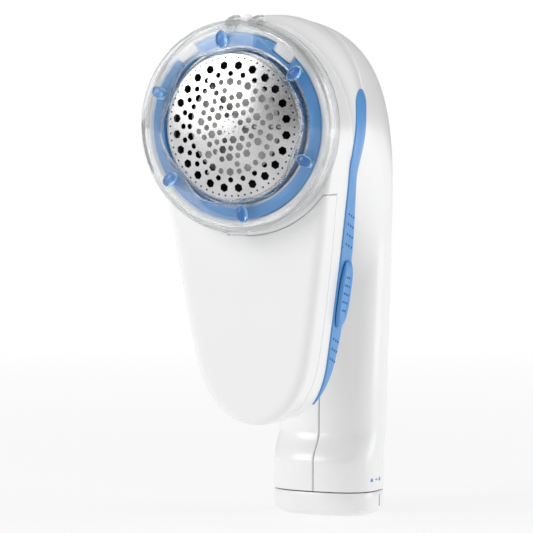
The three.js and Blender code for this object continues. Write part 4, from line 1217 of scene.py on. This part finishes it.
def guard_ring():
    """The guard's wall and flange, turned round with the lip's radius waving."""
    rings = []
    for deg in np.arange(288) * 360 / 288:
        lip = LIP_R - LIP_WAVE * math.cos(6 * math.radians(deg - NUB_FIRST_DEG))
        dent = DENT * max(0.0, 1 - abs(deg - 90) / DENT_HALF_DEG)
        step = dent * 0.4
        corners = [(lip, flange_y(lip) + GUARD_THICK), (lip, flange_y(lip) + 0.3)]
        corners += [(lip + 0.6, flange_y(lip) - 0.25), (lip + 1.4, flange_y(lip + 1.4))]
        corners += [(41.5 - dent, flange_y(41.5))]
        corners += [(GUARD_R - 1.6, flange_y(GUARD_R - 1.6) + 0.2 + step)]
        corners += [(GUARD_R - 0.1, GUARD_RIM_Y + 0.6 + step), (GUARD_R - 0.35, GUARD_RIM_Y + 3.2)]
        corners += [(GUARD_R, GUARD_RIM_Y + 3.8), (GUARD_R, GUARD_BACK_Y), (43.0, GUARD_BACK_Y)]
        corners += [(43.0, GUARD_RIM_Y + 1.2), (41.4, flange_y(41.4) + GUARD_THICK)]
        rings.append(round_head(soft_profile(corners, 0.5, 2), math.radians(deg)))
    return closed_loop(rings)


def guard_nub(deg):
    """A long rounded nub on the flange, pointing at the head's axis."""
    rows = 14
    turn = round_angles(28)
    out_x, out_z = math.cos(math.radians(deg)), math.sin(math.radians(deg))
    middle_y = flange_y(NUB_R) + 0.5
    rings = []
    for tilt in math.pi * np.arange(1, rows) / rows - math.pi / 2:
        along = NUB_R + 4.2 * math.cos(tilt) * np.cos(turn)
        wide = 2.7 * math.cos(tilt) * np.sin(turn)
        x = along * out_x - wide * out_z
        z = HEAD_Z + along * out_z + wide * out_x
        rings.append(xyz(x, middle_y - 2.0 * math.sin(tilt), z))
    return loft(rings)


def hinge_arm(side):
    """One arm from the guard's wall back to an eye on the hinge pin."""
    eye = np.linspace(-math.pi / 2, math.pi / 2, 12)
    outline = [(-90.8, HINGE_Z - 3.2), (-86.8, HINGE_Z - 3.2), (-85.3, HINGE_Z - 2.4)]
    outline += [(HINGE_Y + ARM_EYE_R * math.cos(t), HINGE_Z + ARM_EYE_R * math.sin(t)) for t in eye]
    outline = np.array(outline + [(-87, HINGE_Z + 0.9), (-91.0, HINGE_Z - 0.8)])
    outward = unit(outline - outline.mean(0))
    rings = []
    for offset, shrink in ((-1.5, 0.3), (-1.2, 0.0), (1.2, 0.0), (1.5, 0.3)):
        rings.append(xyz(side * ARM_X + offset, *(outline - outward * shrink).T))
    return loft(rings)


def finger_tab():
    """The small tab below the guard that it is lifted by."""
    low = HEAD_Z - GUARD_R - 1.1
    high = HEAD_Z - GUARD_R + 1
    return loft([[(-4, y, low), (4, y, low), (4, y, high), (-4, y, high)] for y in (-91.5, -95)])


guard = guard_ring().joined(hinge_arm(-1), hinge_arm(1), finger_tab())
make("clear_guard", guard, "guard", "clear_plastic")
nubs = [guard_nub(NUB_FIRST_DEG + 60 * k) for k in range(6)]
make("guard_nubs", together(nubs), "guard", "clear_plastic", tinted)


def hinge_pin():
    """The pin with the ball in its middle."""
    turn = round_angles(24)
    stations = [(PIN_LOW[0], 0.7), (PIN_LOW[0] + 0.3, 1.05)]
    stations += [(BALL_R * math.sin(t), BALL_R * math.cos(t)) for t in np.linspace(-1.12, 1.12, 17)]
    stations += [(PIN_HIGH[0] - 0.3, 1.05), (PIN_HIGH[0], 0.7)]
    around = [(x, HINGE_Y + r * np.cos(turn), HINGE_Z + r * np.sin(turn)) for x, r in stations]
    return loft([xyz(*ring) for ring in around])


make("guard_hinge_pin", hinge_pin(), "case", "white_body")


# ---- battery cap and its marks
def cap_section(inset, z):
    turn = round_angles(120)
    x = (CAP_HIGH[0] - inset) * power_of(np.cos(turn), 2 / HANDLE_SQUARENESS)
    y = (CAP_HIGH[1] - inset) * power_of(np.sin(turn), 2 / HANDLE_SQUARENESS)
    return xyz(x, y, z)


def cap_cup():
    rings = []
    for t in np.linspace(0, math.pi / 2, 10):
        rings.append(cap_section(CAP_EDGE * (1 - math.sin(t)), CAP_EDGE * (1 - math.cos(t))))
    top = CAP_TOP - SEAM / 2
    rings += [cap_section(0, top - 0.55), cap_section(0.12, top - 0.2), cap_section(0.45, top)]
    rings += [cap_section(WALL, top), cap_section(WALL, 5.2), cap_section(WALL + 1.5, 2.8)]
    return loft(rings)


make("battery_cap", cap_cup(), "cap", "white_body")


def printed(outline, deg, z):
    """A thin printed mark: an outline in mm, drawn round the handle's side at a height."""
    outline = np.array(outline)
    turn = np.radians(deg + outline[:, 0] * math.degrees(1 / HANDLE_R))
    way = xyz(np.cos(turn), np.sin(turn), 0)
    start = xyz(0, 0, z + outline[:, 1])
    place = start + way * surface_along(start, way)
    normals = body.normal(place)
    return loft([place - normals * 0.1, place + normals * MARK_LIFT])


def padlock_outline(x):
    body_part = [(-0.8, -0.9), (0.8, -0.9), (0.8, 0.2), (0.45, 0.2)]
    shackle = [(0.45 * math.cos(t), 0.35 + 0.5 * math.sin(t)) for t in np.linspace(0, math.pi, 7)]
    return [(x + a, b) for a, b in body_part + shackle + [(-0.45, 0.2), (-0.8, 0.2)]]


ARROW = [(-1.2, -0.16), (0.5, -0.16), (0.5, -0.6), (1.5, 0), (0.5, 0.6), (0.5, 0.16), (-1.2, 0.16)]
LINE = [(-0.3, -2.6), (0.3, -2.6), (0.3, 2.6), (-0.3, 2.6)]
lock_marks = [padlock_outline(-3.4), ARROW, padlock_outline(3.4)]
lock_marks = [printed(outline, MARK_DEG, CAP_TOP + 5.5) for outline in lock_marks]
make("lock_marks", together(lock_marks), "case", "blue_plastic")
make("cap_line_mark", printed(LINE, MARK_DEG + 8, CAP_TOP - 4.2), "cap", "blue_plastic")


# ---- floor, light and camera
def studio_floor():
    mesh = bpy.data.meshes.new("floor")
    corners = [(x * FLOOR_HALF, y * FLOOR_HALF, 0) for x, y in ((-1, -1), (1, -1), (1, 1), (-1, 1))]
    mesh.from_pydata(corners, [], [(0, 1, 2, 3)])
    mesh.materials.append(paper("floor_paper", 0.9, 0.15, 0.9))
    floor = bpy.data.objects.new("floor", mesh)
    bpy.context.scene.collection.objects.link(floor)
    floor.location.z = -0.0003


def studio_world():
    """A plain white backdrop to the camera; softer light all round, dimmest from the front."""
    world = bpy.data.worlds.new("studio")
    bpy.context.scene.world = world
    nodes = Nodes(world)
    place = nodes.add("ShaderNodeTexCoord").outputs["Generated"]
    direction = nodes.add("ShaderNodeSeparateXYZ", {0: place}).outputs
    aside = nodes.sum_of("ABSOLUTE", nodes.sum_of("ADD", direction["X"], -DIM_X))
    level = nodes.ramp(aside, 0.1, 0.75, DIM_LEVEL, SIDE_LEVEL, "SMOOTHSTEP")
    above = nodes.ramp(direction["Z"], 0.0, 0.9, 0.0, ABOVE_LEVEL, "SMOOTHSTEP")
    to_camera = nodes.add("ShaderNodeLightPath").outputs["Is Camera Ray"]
    inputs = {"A": nodes.sum_of("ADD", level, above), "B": BACKDROP, "Factor": to_camera}
    strength = nodes.add("ShaderNodeMix", inputs).outputs["Result"]
    nodes.feed(nodes.tree.nodes["Background"], {"Strength": strength, "Color": (1, 1, 1, 1)})


def soft_light(name, place, aim, size, watts):
    lamp = bpy.data.lights.new(name, "AREA")
    lamp.shape = "RECTANGLE"
    lamp.size = size[0]
    lamp.size_y = size[1]
    lamp.energy = watts
    holder = bpy.data.objects.new(name, lamp)
    bpy.context.scene.collection.objects.link(holder)
    from_to = np.array(aim, float) - np.array(place, float)
    holder.location = place
    direction = Vector(from_to)
    holder.rotation_euler = direction.to_track_quat("-Z", "Y").to_euler()


def studio_camera():
    """Looks at the shaver from the front's right, from a little above."""
    right = np.array([math.cos(AZIMUTH), math.sin(AZIMUTH), 0])
    toward = np.array([math.sin(AZIMUTH), -math.cos(AZIMUTH), math.tan(ELEVATION)]) * math.cos(ELEVATION)
    up = np.cross(toward, right)
    aim = np.array([0, DISC_Y, HEAD_Z]) / 1000 + AIM_RIGHT * right - AIM_DOWN * up
    data = bpy.data.cameras.new("camera")
    data.lens = LENS
    data.clip_end = 50
    camera = bpy.data.objects.new("camera", data)
    bpy.context.scene.collection.objects.link(camera)
    camera.location = aim + DISTANCE * toward
    camera.rotation_euler = Vector(-toward).to_track_quat("-Z", "Y").to_euler()
    bpy.context.scene.camera = camera


studio_floor()
studio_world()
soft_light("key", (-0.6, -0.95, 0.6), (0, -0.05, 0.12), (0.5, 0.8), 6.6)
soft_light("right", (1.1, 0.4, 0.45), (0, -0.02, 0.12), (0.8, 1.1), 7)
soft_light("top", (0.1, -0.2, 1.0), (0, -0.04, 0.1), (0.6, 0.6), 2.4)
studio_camera()
bpy.context.scene.view_settings.view_transform = "Standard"
